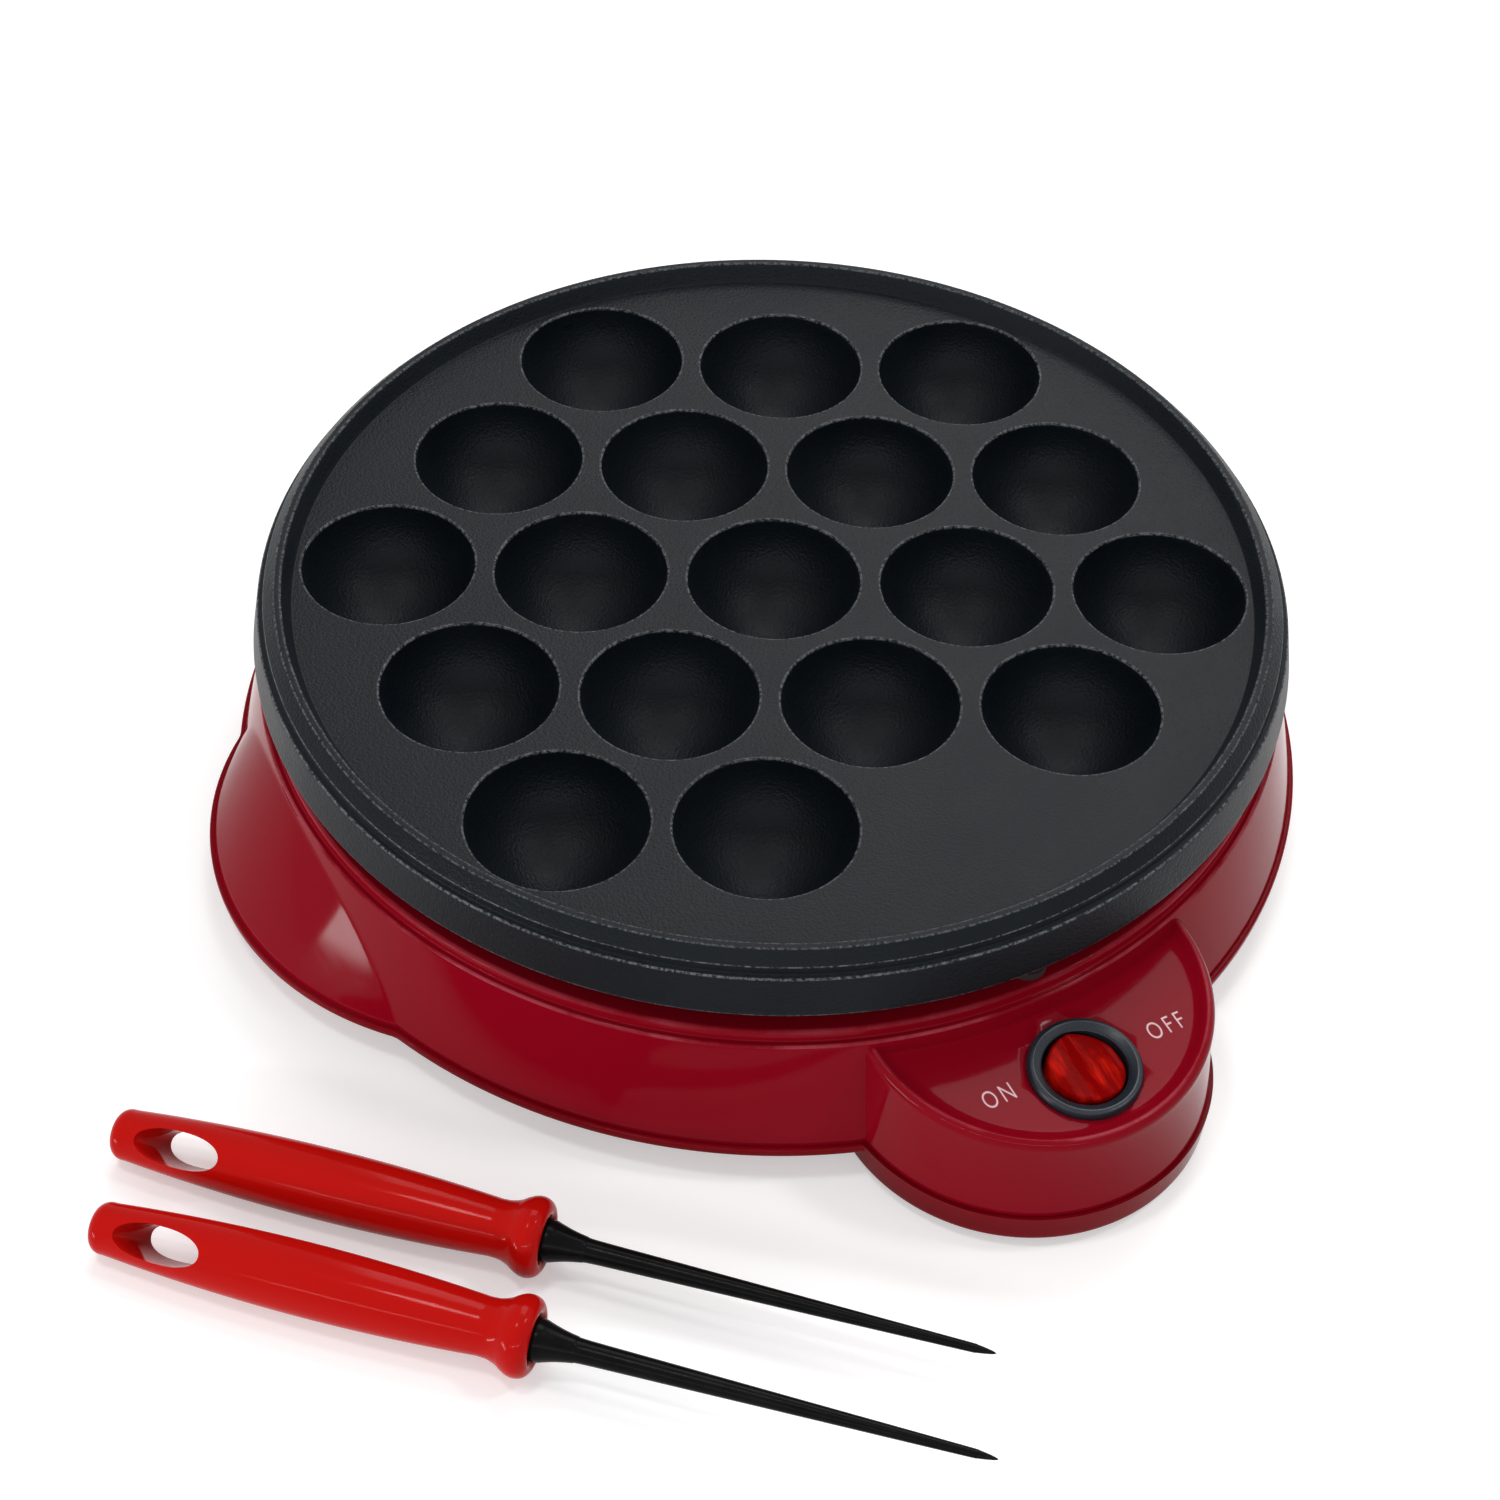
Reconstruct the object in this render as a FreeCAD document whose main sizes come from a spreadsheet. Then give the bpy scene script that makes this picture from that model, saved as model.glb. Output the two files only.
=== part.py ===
"""Electric takoyaki maker: a round base with two side grips and a control lobe, a cast plate with
eighteen round cavities, the heater and wiring inside, and the two turning picks that lie beside it.

Frame: millimetres, +Z up, the origin at the centre of the bottom tray's flat underside, on the
plate's axis. The control lobe points to -Y, the grips to +X and -X, the cord gland to +Y.
"""

import FreeCAD, Part
import math
import os

import Sketcher
from FreeCAD import Placement, Rotation, Vector

DOCUMENT = FreeCAD.newDocument("takoyaki_maker")
SHEET = DOCUMENT.addObject("Spreadsheet::Sheet", "sizes")
SUB_PARTS = []


class Size:
    """A number together with the spreadsheet expression that gives it."""

    def __init__(self, number, text):
        self.number = float(number)
        self.text = text

    def __add__(self, other):
        other = as_size(other)
        return Size(self.number + other.number, f"({self.text} + {other.text})")

    def __radd__(self, other):
        return as_size(other) + self

    def __sub__(self, other):
        other = as_size(other)
        return Size(self.number - other.number, f"({self.text} - {other.text})")

    def __rsub__(self, other):
        return as_size(other) - self

    def __mul__(self, other):
        other = as_size(other)
        return Size(self.number * other.number, f"({self.text} * {other.text})")

    def __rmul__(self, other):
        return as_size(other) * self

    def __truediv__(self, other):
        other = as_size(other)
        return Size(self.number / other.number, f"({self.text} / {other.text})")

    def __neg__(self):
        return Size(-self.number, f"(0 - {self.text})")


def as_size(value):
    """A plain number as a Size; a Size stays as it is."""
    return value if isinstance(value, Size) else Size(value, repr(float(value)))


def size(alias, number):
    """Puts a driving dimension into the spreadsheet and returns it."""
    row = len(SHEET.getUsedCells()) // 2 + 1
    SHEET.set(f"A{row}", alias.replace("_", " "))
    SHEET.set(f"B{row}", str(number))
    SHEET.setAlias(f"B{row}", alias)
    return Size(number, f"sizes.{alias}")


def cosine(angle):
    """The cosine of an angle in degrees."""
    return Size(math.cos(math.radians(angle.number)), f"cos({angle.text} * 1 deg)")


def sine(angle):
    """The sine of an angle in degrees."""
    return Size(math.sin(math.radians(angle.number)), f"sin({angle.text} * 1 deg)")


# ---- Driving dimensions: housing and tray ----
part_line = size("part_line", 8.0)  # height of the joint between tray and housing
wall = size("wall", 2.2)  # moulded wall of the upper housing
foot_radius = size("foot_radius", 125.9)  # housing wall at the joint
step_radius = size("step_radius", 119.8)  # housing wall at the shoulder step
step_height = size("step_height", 33.6)
step_round = size("step_round", 1.0)
rim_radius = size("rim_radius", 118.0)  # top ring above the step
rim_height = size("rim_height", 37.5)
rim_round = size("rim_round", 1.1)
opening_radius = size("opening_radius", 107.5)  # hole in the top ring
lobe_centre = size("lobe_centre", 115.0)  # control lobe's axis, in front of the plate's axis
lobe_foot_radius = size("lobe_foot_radius", 41.5)
lobe_top_radius = size("lobe_top_radius", 39.6)
panel_height = size("panel_height", 31.1)  # sunk top of the control lobe, on the lobe's axis
panel_tilt = size("panel_tilt", 4.5)  # the panel leans towards the cook
bead_height = size("bead_height", 2.0)  # raised edge round the panel
bead_round = size("bead_round", 1.6)
bead_slope = size("bead_slope", 50.0)
grip_radius = size("grip_radius", 68.6)
grip_foot_centre = size("grip_foot_centre", 68.1)
grip_waist_centre = size("grip_waist_centre", 60.4)
grip_waist_height = size("grip_waist_height", 20.0)
grip_top_centre = size("grip_top_centre", 51.0)
grip_shift = size("grip_shift", 2.3)  # both grips sit a little behind the plate's axis
tray_floor = size("tray_floor", 2.0)
tray_flat_inset = size("tray_flat_inset", 9.4)  # from the housing wall in to the flat underside
tray_round = size("tray_round", 9.0)
lip_reach = size("lip_reach", 1.0)  # the tray's lip stands proud of the housing wall
lip_thickness = size("lip_thickness", 2.0)
lobe_tray_inset = size("lobe_tray_inset", 0.7)
lobe_tray_round = size("lobe_tray_round", 1.4)
vent_count = size("vent_count", 12)
vent_length = size("vent_length", 22.0)
vent_width = size("vent_width", 3.0)
vent_radius = size("vent_radius", 48.0)

# ---- Driving dimensions: fasteners and feet ----
clearance = size("clearance", 0.05)  # radial running clearance of pins, stems and shanks
boss_circle = size("boss_circle", 113.5)
boss_radius = size("boss_radius", 4.2)
boss_angle = size("boss_angle", 45.0)
boss_count = size("boss_count", 4)
screw_radius = size("screw_radius", 1.5)
screw_head_radius = size("screw_head_radius", 3.1)
screw_head_height = size("screw_head_height", 2.2)
housing_screw_length = size("housing_screw_length", 16.0)
foot_circle = size("foot_circle", 98.0)
foot_pad_radius = size("foot_pad_radius", 7.5)
foot_drop = size("foot_drop", 2.5)
foot_stem_radius = size("foot_stem_radius", 2.5)

# ---- Driving dimensions: cord gland ----
gland_height = size("gland_height", 16.5)
gland_pad_radius = size("gland_pad_radius", 8.2)
gland_pad_face = size("gland_pad_face", 126.8)
gland_pad_thickness = size("gland_pad_thickness", 7.2)
gland_radius = size("gland_radius", 5.2)
gland_bore_radius = size("gland_bore_radius", 3.5)
gland_flange_radius = size("gland_flange_radius", 7.4)
gland_flange_thickness = size("gland_flange_thickness", 2.0)

# ---- Driving dimensions: cooking plate ----
plate_radius = size("plate_radius", 120.0)
plate_low = size("plate_low", 45.0)  # lower edge of the plate's skirt
skirt_wall = size("skirt_wall", 3.2)
skirt_draft = size("skirt_draft", 1.8)
cook_height = size("cook_height", 55.7)  # cooking surface
plate_wall = size("plate_wall", 4.0)
ledge_height = size("ledge_height", 55.1)
lip_foot_inset = size("lip_foot_inset", 3.0)
lip_shoulder_height = size("lip_shoulder_height", 57.2)
crest_height = size("crest_height", 60.1)
crest_outer_inset = size("crest_outer_inset", 6.0)
crest_width = size("crest_width", 1.4)
lip_slope = size("lip_slope", 2.2)
cavity_pitch = size("cavity_pitch", 44.5)
cavity_radius = size("cavity_radius", 19.9)
cavity_wall = size("cavity_wall", 2.2)
mouth_bevel = size("mouth_bevel", 0.6)
plate_boss_circle = size("plate_boss_circle", 112.5)
spacer_thickness = size("spacer_thickness", 2.0)
stud_radius = size("stud_radius", 3.0)

# ---- Driving dimensions: heater, reflector, thermostat and fuse ----
tube_radius = size("tube_radius", 3.25)
heater_radius = size("heater_radius", 67.0)
heater_height = size("heater_height", 29.6)
heater_gap_angle = size("heater_gap_angle", 18.0)  # half of the gap, at the front
heater_bend = size("heater_bend", 6.6)
heater_leg_low = size("heater_leg_low", 16.5)
pan_floor = size("pan_floor", 21.3)
pan_sheet = size("pan_sheet", 0.8)
pan_floor_radius = size("pan_floor_radius", 88.0)
pan_flange_radius = size("pan_flange_radius", 115.4)
pan_centre_hole = size("pan_centre_hole", 11.0)
insulator_radius = size("insulator_radius", 4.8)
insulator_collar = size("insulator_collar", 6.2)
blade_width = size("blade_width", 6.0)
blade_thickness = size("blade_thickness", 0.8)
blade_length = size("blade_length", 8.0)
thermostat_radius = size("thermostat_radius", 8.0)
thermostat_cap_radius = size("thermostat_cap_radius", 8.9)
thermostat_height = size("thermostat_height", 9.0)
thermostat_cap_height = size("thermostat_cap_height", 4.2)
strap_width = size("strap_width", 9.0)
strap_sheet = size("strap_sheet", 1.0)
clip_reach = size("clip_reach", 21.0)
fuse_radius = size("fuse_radius", 2.0)
fuse_length = size("fuse_length", 11.0)
fuse_height = size("fuse_height", 17.7)
fuse_side = size("fuse_side", 30.0)  # distance of the fuse to the left of the plate's axis
sleeve_wall = size("sleeve_wall", 0.8)
sleeve_length = size("sleeve_length", 24.0)
clamp_sheet = size("clamp_sheet", 0.65)

# ---- Driving dimensions: terminal block and leads ----
block_length = size("block_length", 40.0)
block_width = size("block_width", 15.0)
block_height = size("block_height", 11.0)
block_back = size("block_back", 99.0)  # centre of the block, behind the plate's axis
pole_pitch = size("pole_pitch", 10.0)
pole_bore = size("pole_bore", 1.45)
lead_radius = size("lead_radius", 1.3)
lead_grip = size("lead_grip", 3.0)  # length of lead inside a pole
earth_radius = size("earth_radius", 60.0)

# ---- Driving dimensions: rocker switch ----
switch_y = size("switch_y", 136.9)  # switch axis, in front of the plate's axis
bezel_radius = size("bezel_radius", 12.4)
bezel_height = size("bezel_height", 2.0)
bezel_bevel = size("bezel_bevel", 0.9)
switch_radius = size("switch_radius", 10.1)
switch_bore = size("switch_bore", 9.2)
switch_low = size("switch_low", 14.0)
switch_floor = size("switch_floor", 2.0)
pivot_height = size("pivot_height", 28.6)
rocker_radius = size("rocker_radius", 8.5)
rocker_swing_radius = size("rocker_swing_radius", 8.8)
rocker_ridge = size("rocker_ridge", 5.6)  # top of the ridge above the pivot
rocker_depth = size("rocker_depth", 2.6)  # underside below the pivot
rocker_tilt = size("rocker_tilt", 8.0)
scoop_radius = size("scoop_radius", 17.0)
scoop_side = size("scoop_side", 6.2)
scoop_height = size("scoop_height", 20.4)
pivot_radius = size("pivot_radius", 1.2)
plunger_radius = size("plunger_radius", 1.1)
plunger_reach = size("plunger_reach", 8.6)
lever_height = size("lever_height", 19.2)
lever_length = size("lever_length", 12.0)
lever_width = size("lever_width", 3.6)
lever_sheet = size("lever_sheet", 0.6)
lever_tilt = size("lever_tilt", 5.0)
lever_pin_radius = size("lever_pin_radius", 0.7)
lamp_radius = size("lamp_radius", 1.5)
lamp_length = size("lamp_length", 8.0)
lamp_side = size("lamp_side", 5.6)
tab_pitch = size("tab_pitch", 6.0)

# ---- Driving dimensions: picks ----
pick_yaw = size("pick_yaw", -44.9)
pick_pitch = size("pick_pitch", -1.4)  # the collar lies higher than the belly
pick_roll = size("pick_roll", 38.0)  # the hanging hole faces the cook
pick_back_x = size("pick_back_x", -180.8)
pick_back_y = size("pick_back_y", -40.2)
pick_rise = size("pick_rise", 6.55)  # axis of the handle's back end above the table
pick_step_x = size("pick_step_x", -12.2)
pick_step_y = size("pick_step_y", -20.5)
handle_length = size("handle_length", 97.5)
handle_back_radius = size("handle_back_radius", 5.5)
handle_back_round = size("handle_back_round", 3.0)
belly_radius = size("belly_radius", 7.6)
belly_place = size("belly_place", 48.0)
neck_radius = size("neck_radius", 6.1)
neck_place = size("neck_place", 86.5)
collar_radius = size("collar_radius", 8.6)
collar_width = size("collar_width", 6.0)
slot_width = size("slot_width", 7.6)
slot_start = size("slot_start", 5.6)
slot_end = size("slot_end", 26.0)
slot_slant = size("slot_slant", 6.0)
tang_radius = size("tang_radius", 2.0)
tang_length = size("tang_length", 24.0)
spike_length = size("spike_length", 95.5)
spike_base_radius = size("spike_base_radius", 4.6)
spike_neck_radius = size("spike_neck_radius", 2.5)
spike_neck_place = size("spike_neck_place", 11.0)
spike_end_radius = size("spike_end_radius", 0.95)
spike_point = size("spike_point", 5.0)
spike_tip_radius = size("spike_tip_radius", 0.2)

SHEET.recompute()

# ---- Places that more than one sub-part uses ----
QUARTER_TURN = 90.0
ring_underside = rim_height - wall
plate_under = cook_height - plate_wall
cavity_low = cook_height - cavity_radius - cavity_wall
plate_boss_low = rim_height + spacer_thickness
clip_stud_circle = cavity_pitch * (2 / math.sqrt(3))
clip_stud_low = heater_height - tube_radius - 0.25
bracket_stud_circle = cavity_pitch / math.sqrt(3)
bracket_stud_low = cavity_low - thermostat_cap_height
leg_x = heater_radius * sine(heater_gap_angle) - heater_bend * cosine(heater_gap_angle)
leg_y = -(heater_radius * cosine(heater_gap_angle) + heater_bend * sine(heater_gap_angle))
pan_top = pan_floor + pan_sheet
table = -foot_drop
gland_inner_face = gland_pad_face - gland_pad_thickness
block_front = block_back - block_width / 2
pole_height = tray_floor + 5.5
clamp_screw_x = -(fuse_side + 6.0)
bead_end = lobe_top_radius + 0.3
bead_drop = bead_height - bead_round * (1 - cosine(bead_slope))
bead_foot_arc = bead_drop / (1 - cosine(bead_slope))


# ---- Building blocks ----
def bind(thing, **targets):
    """Sets properties of an object, each bound to the sheet; a double underscore stands for a dot."""
    for name, value in targets.items():
        thing.setExpression(name.replace("__", "."), as_size(value).text)


def new_body(label):
    """A PartDesign body that becomes one sub-part."""
    body = DOCUMENT.addObject("PartDesign::Body", label)
    body.Label = label
    SUB_PARTS.append(body)
    return body


def origin_feature(body, role):
    """The body's own origin plane or axis of that role."""
    return next(item for item in body.Origin.OriginFeatures if item.Role == role)


def arc_between(start, end, radius):
    """The arc between two points, and if it runs backwards; a positive radius bulges right of travel."""
    chord = end - start
    half = chord.Length / 2
    left = Vector(-chord.y, chord.x, 0).normalize()
    height = math.sqrt(max(radius * radius - half * half, 0.0))
    centre = start + chord / 2 + left * math.copysign(height, radius)
    first, last = (start, end) if radius > 0 else (end, start)
    angles = [math.atan2(point.y - centre.y, point.x - centre.x) for point in (first, last)]
    circle = Part.Circle(centre, Vector(0, 0, 1), abs(radius))
    return Part.ArcOfCircle(circle, angles[0], angles[1]), radius < 0


def on_panel(y, z):
    """Where the panel's tilt about its centre takes the point at y and z: its new y and z."""
    ahead = as_size(y) + lobe_centre
    above = as_size(z) - panel_height
    return (ahead * cosine(panel_tilt) - above * sine(panel_tilt) - lobe_centre,
            ahead * sine(panel_tilt) + above * cosine(panel_tilt) + panel_height)


def lean(item, y=0.0, z=0.0, turn=0.0):
    """Leans a switch part with the panel, its own origin at y and z, after a turn about its own Y axis."""
    y, z = on_panel(y, z)
    place = f"create(<<vector>>; 0; {y.text}; {z.text})"
    tilt = f"create(<<rotation>>; create(<<vector>>; 1; 0; 0); {panel_tilt.text})"
    rock = f"create(<<rotation>>; create(<<vector>>; 0; 1; 0); {as_size(turn).text})"
    item.setExpression("Placement", f"create(<<placement>>; {place}; {tilt} * {rock})")


def outline(body, name, plane, corners, **offset):
    """A closed outline. A corner is (x, y), or (x, y, radius) where an arc of that radius leads to it."""
    drawing = body.newObject("Sketcher::SketchObject", name)
    drawing.AttachmentSupport = [(origin_feature(body, plane), "")]
    drawing.MapMode = "FlatFace"
    for axis, value in offset.items():
        bind(drawing, **{f"AttachmentOffset__Base__{axis}": value})
    corners = [tuple(as_size(value) for value in corner) for corner in corners]
    points = [Vector(corner[0].number, corner[1].number, 0) for corner in corners]
    ends = []
    for index, corner in enumerate(corners):
        before = points[index - 1]
        if len(corner) == 3:
            arc, backwards = arc_between(before, points[index], corner[2].number)
            edge = drawing.addGeometry(arc)
            ends.append((edge, 2, 1) if backwards else (edge, 1, 2))
        else:
            edge = drawing.addGeometry(Part.LineSegment(before, points[index]))
            ends.append((edge, 1, 2))
    for index, corner in enumerate(corners):
        edge, _, last = ends[index]
        following, first, _ = ends[(index + 1) % len(ends)]
        drawing.addConstraint(Sketcher.Constraint("Coincident", edge, last, following, first))
        hold(drawing, edge, last, corner[0], "DistanceX", -2)
        hold(drawing, edge, last, corner[1], "DistanceY", -1)
        if len(corner) == 3:
            turn = drawing.addConstraint(Sketcher.Constraint("Radius", edge, abs(corner[2].number)))
            bind(drawing, **{f"Constraints[{turn}]": corner[2] * math.copysign(1.0, corner[2].number)})
    return drawing


def hold(drawing, edge, end, value, kind, axis):
    """Fixes one coordinate of an edge's end; a zero puts it on the axis."""
    if value.text == "0.0":
        drawing.addConstraint(Sketcher.Constraint("PointOnObject", edge, end, axis))
        return
    index = drawing.addConstraint(Sketcher.Constraint(kind, -1, 1, edge, end, value.number))
    bind(drawing, **{f"Constraints[{index}]": value})


def turned(body, name, corners, x=0.0, y=0.0, cut=False):
    """Turns an outline of radii and heights round the vertical line at x, y."""
    drawing = outline(body, f"{name}_outline", "XZ_Plane", corners, x=x, z=-as_size(y))
    return turn_outline(body, name, drawing, cut)


def cut_on_panel(body, name, corners):
    """Cuts by an outline of radii and heights above the panel, turned round the panel's own axis."""
    drawing = outline(body, f"{name}_outline", "XZ_Plane", corners)
    drawing.AttachmentOffset = Placement(Vector(), Rotation(Vector(1, 0, 0), panel_tilt.number))
    bind(drawing, AttachmentOffset__Rotation__Angle=panel_tilt, AttachmentOffset__Base__y=panel_height,
         AttachmentOffset__Base__z=lobe_centre)
    return turn_outline(body, name, drawing, True)


def turn_outline(body, name, drawing, cut):
    """Turns a drawn outline round its own vertical axis."""
    feature = body.newObject("PartDesign::Groove" if cut else "PartDesign::Revolution", name)
    feature.Profile = drawing
    feature.ReferenceAxis = (drawing, ["V_Axis"])
    feature.Angle = 360.0
    return feature


def turned_along(body, name, corners, cut=False):
    """Turns an outline of places and radii round the body's X axis."""
    drawing = outline(body, f"{name}_outline", "XY_Plane", corners)
    feature = body.newObject("PartDesign::Groove" if cut else "PartDesign::Revolution", name)
    feature.Profile = drawing
    feature.ReferenceAxis = (drawing, ["H_Axis"])
    feature.Angle = 360.0
    return feature


def cylinder(body, name, radius, low, high, x=0.0, y=0.0, cut=False):
    """A vertical cylinder added to a body, or cut from it."""
    kind = "PartDesign::SubtractiveCylinder" if cut else "PartDesign::AdditiveCylinder"
    feature = body.newObject(kind, name)
    low = as_size(low)
    bind(feature, Radius=radius, Height=high - low)
    bind(feature, Placement__Base__x=x, Placement__Base__y=y, Placement__Base__z=low)
    return feature


def cylinder_along_y(body, name, radius, start, end, x, z, cut=False):
    """A cylinder along +Y added to a body, or cut from it."""
    kind = "PartDesign::SubtractiveCylinder" if cut else "PartDesign::AdditiveCylinder"
    feature = body.newObject(kind, name)
    feature.Placement = Placement(Vector(), Rotation(Vector(1, 0, 0), -QUARTER_TURN))
    start = as_size(start)
    bind(feature, Radius=radius, Height=end - start)
    bind(feature, Placement__Base__x=x, Placement__Base__y=start, Placement__Base__z=z)
    return feature


def block(body, name, x, y, z, cut=False):
    """A box added to a body, or cut from it; x, y and z are pairs of low and high."""
    feature = body.newObject("PartDesign::SubtractiveBox" if cut else "PartDesign::AdditiveBox", name)
    x, y, z = ([as_size(value) for value in pair] for pair in (x, y, z))
    bind(feature, Length=x[1] - x[0], Width=y[1] - y[0], Height=z[1] - z[0])
    bind(feature, Placement__Base__x=x[0], Placement__Base__y=y[0], Placement__Base__z=z[0])
    return feature


def ring_of(body, name, features, count, angle=360.0):
    """Repeats features round the body's Z axis."""
    pattern = body.newObject("PartDesign::PolarPattern", name)
    pattern.Originals = features
    pattern.Axis = (origin_feature(body, "Z_Axis"), [""])
    bind(pattern, Occurrences=count, Angle=angle)
    body.Tip = pattern
    return pattern


def row_of(body, name, features, count, pitch):
    """Repeats features along the body's X axis, a pitch apart."""
    pattern = body.newObject("PartDesign::LinearPattern", name)
    pattern.Originals = features
    pattern.Direction = (origin_feature(body, "X_Axis"), [""])
    pattern.Occurrences = count
    bind(pattern, Length=pitch * (count - 1))
    body.Tip = pattern
    return pattern


def plain(label, shape):
    """A sub-part whose shape is worked out directly."""
    feature = DOCUMENT.addObject("Part::Feature", label)
    feature.Label = label
    feature.Shape = shape
    SUB_PARTS.append(feature)
    return feature


# ---- Housing ----
def grip_loft(body, name, side, inset, low, cut=False):
    """The bulge of one side grip: three circles that slide outwards on the way down."""
    centres = (
        (grip_foot_centre, low),
        (grip_waist_centre, grip_waist_height),
        (grip_top_centre, step_height),
    )
    circles = []
    for index, (centre, height) in enumerate(centres):
        drawing = body.newObject("Sketcher::SketchObject", f"{name}_circle_{index}")
        drawing.AttachmentSupport = [(origin_feature(body, "XY_Plane"), "")]
        drawing.MapMode = "FlatFace"
        bind(drawing, AttachmentOffset__Base__z=height)
        start = Vector(side * centre.number, grip_shift.number, 0)
        radius = grip_radius - inset
        circle = drawing.addGeometry(Part.Circle(start, Vector(0, 0, 1), radius.number))
        hold(drawing, circle, 3, side * centre, "DistanceX", -2)
        hold(drawing, circle, 3, grip_shift, "DistanceY", -1)
        width = drawing.addConstraint(Sketcher.Constraint("Radius", circle, radius.number))
        bind(drawing, **{f"Constraints[{width}]": radius})
        circles.append(drawing)
    loft = body.newObject("PartDesign::SubtractiveLoft" if cut else "PartDesign::AdditiveLoft", name)
    loft.Profile = circles[0]
    loft.Sections = circles[1:]
    return loft


def make_upper_housing():
    """Upper shell: conical wall with a stepped shoulder, two grips and the control lobe, hollow inside."""
    body = new_body("upper_housing")
    turned(body, "control_lobe", [
        (0.0, part_line),
        (lobe_foot_radius, part_line),
        (lobe_top_radius, panel_height),
        (lobe_top_radius, panel_height + 8),
        (0.0, panel_height + 8),
    ], y=-lobe_centre)
    crest_in = bead_end - bead_round * (1 + sine(bead_slope))
    cut_on_panel(body, "sunk_panel", [
        (0.0, 0.0),
        (crest_in - bead_foot_arc * sine(bead_slope), 0.0),
        (crest_in, bead_drop, bead_foot_arc),
        (bead_end, bead_height - bead_round, -bead_round),
        (bead_end + 3, bead_height - bead_round),
        (bead_end + 3, bead_height + 10),
        (0.0, bead_height + 10),
    ])
    turned(body, "round_wall", [
        (0.0, part_line),
        (foot_radius, part_line),
        (step_radius, step_height),
        (step_radius - step_round, step_height + step_round, step_round),
        (rim_radius, step_height + step_round),
        (rim_radius, rim_height - rim_round),
        (rim_radius - rim_round, rim_height, rim_round),
        (0.0, rim_height),
    ])
    for side, name in ((-1, "left"), (1, "right")):
        grip_loft(body, f"{name}_grip", side, as_size(0.0), part_line)
    open_low = part_line - 1
    turned(body, "inside", [
        (0.0, open_low),
        (foot_radius - wall, open_low),
        (step_radius - wall, step_height - wall),
        (rim_radius - wall, ring_underside),
        (0.0, ring_underside),
    ], cut=True)
    turned(body, "lobe_inside", [
        (0.0, open_low),
        (lobe_foot_radius - wall, open_low),
        (lobe_top_radius - wall, panel_height - wall - lobe_foot_radius * sine(panel_tilt)),
        (0.0, panel_height - wall - lobe_foot_radius * sine(panel_tilt)),
    ], y=-lobe_centre, cut=True)
    cut_on_panel(body, "under_panel", [
        (0.0, -wall * 4),
        (lobe_top_radius - wall - 0.4, -wall * 4),
        (lobe_top_radius - wall - 0.4, -wall),
        (0.0, -wall),
    ])
    for side, name in ((-1, "left"), (1, "right")):
        grip_loft(body, f"{name}_grip_inside", side, wall, open_low, cut=True)
    cylinder(body, "plate_opening", opening_radius, ring_underside - 1, rim_height + 1, cut=True)
    cylinder_along_y(body, "gland_pad", gland_pad_radius, gland_inner_face, gland_pad_face, 0.0, gland_height)
    cylinder_along_y(body, "gland_hole", gland_radius + clearance, gland_inner_face - 1, gland_pad_face + 1,
                     0.0, gland_height, cut=True)
    hole = body.newObject("PartDesign::SubtractiveCylinder", "switch_hole")
    bind(hole, Radius=switch_radius + clearance, Height=wall + 4)
    lean(hole, -switch_y, panel_height - wall - 1)
    boss_x = boss_circle * cosine(boss_angle)
    boss_y = boss_circle * sine(boss_angle)
    boss = cylinder(body, "screw_boss", boss_radius, part_line, ring_underside + 0.5, boss_x, boss_y)
    pilot = cylinder(body, "pilot_hole", screw_radius + clearance, part_line - 1,
                     part_line + housing_screw_length, boss_x, boss_y, cut=True)
    ring_of(body, "screw_bosses", [boss, pilot], boss_count)
    hole = cylinder(body, "plate_screw_hole", screw_radius + 0.6, ring_underside - 1, rim_height + 1,
                    x=plate_boss_circle, cut=True)
    ring_of(body, "plate_screw_holes", [hole], boss_count)


def dish(body, name, flat, curve, curve_height, lip, arc, x=0.0, y=0.0):
    """One round part of the tray's outside: flat underside, rounded edge and lip."""
    turned(body, name, [
        (0.0, 0.0),
        (flat, 0.0),
        (curve, curve_height, arc),
        (lip, curve_height),
        (lip, part_line),
        (0.0, part_line),
    ], x=x, y=y)


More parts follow.
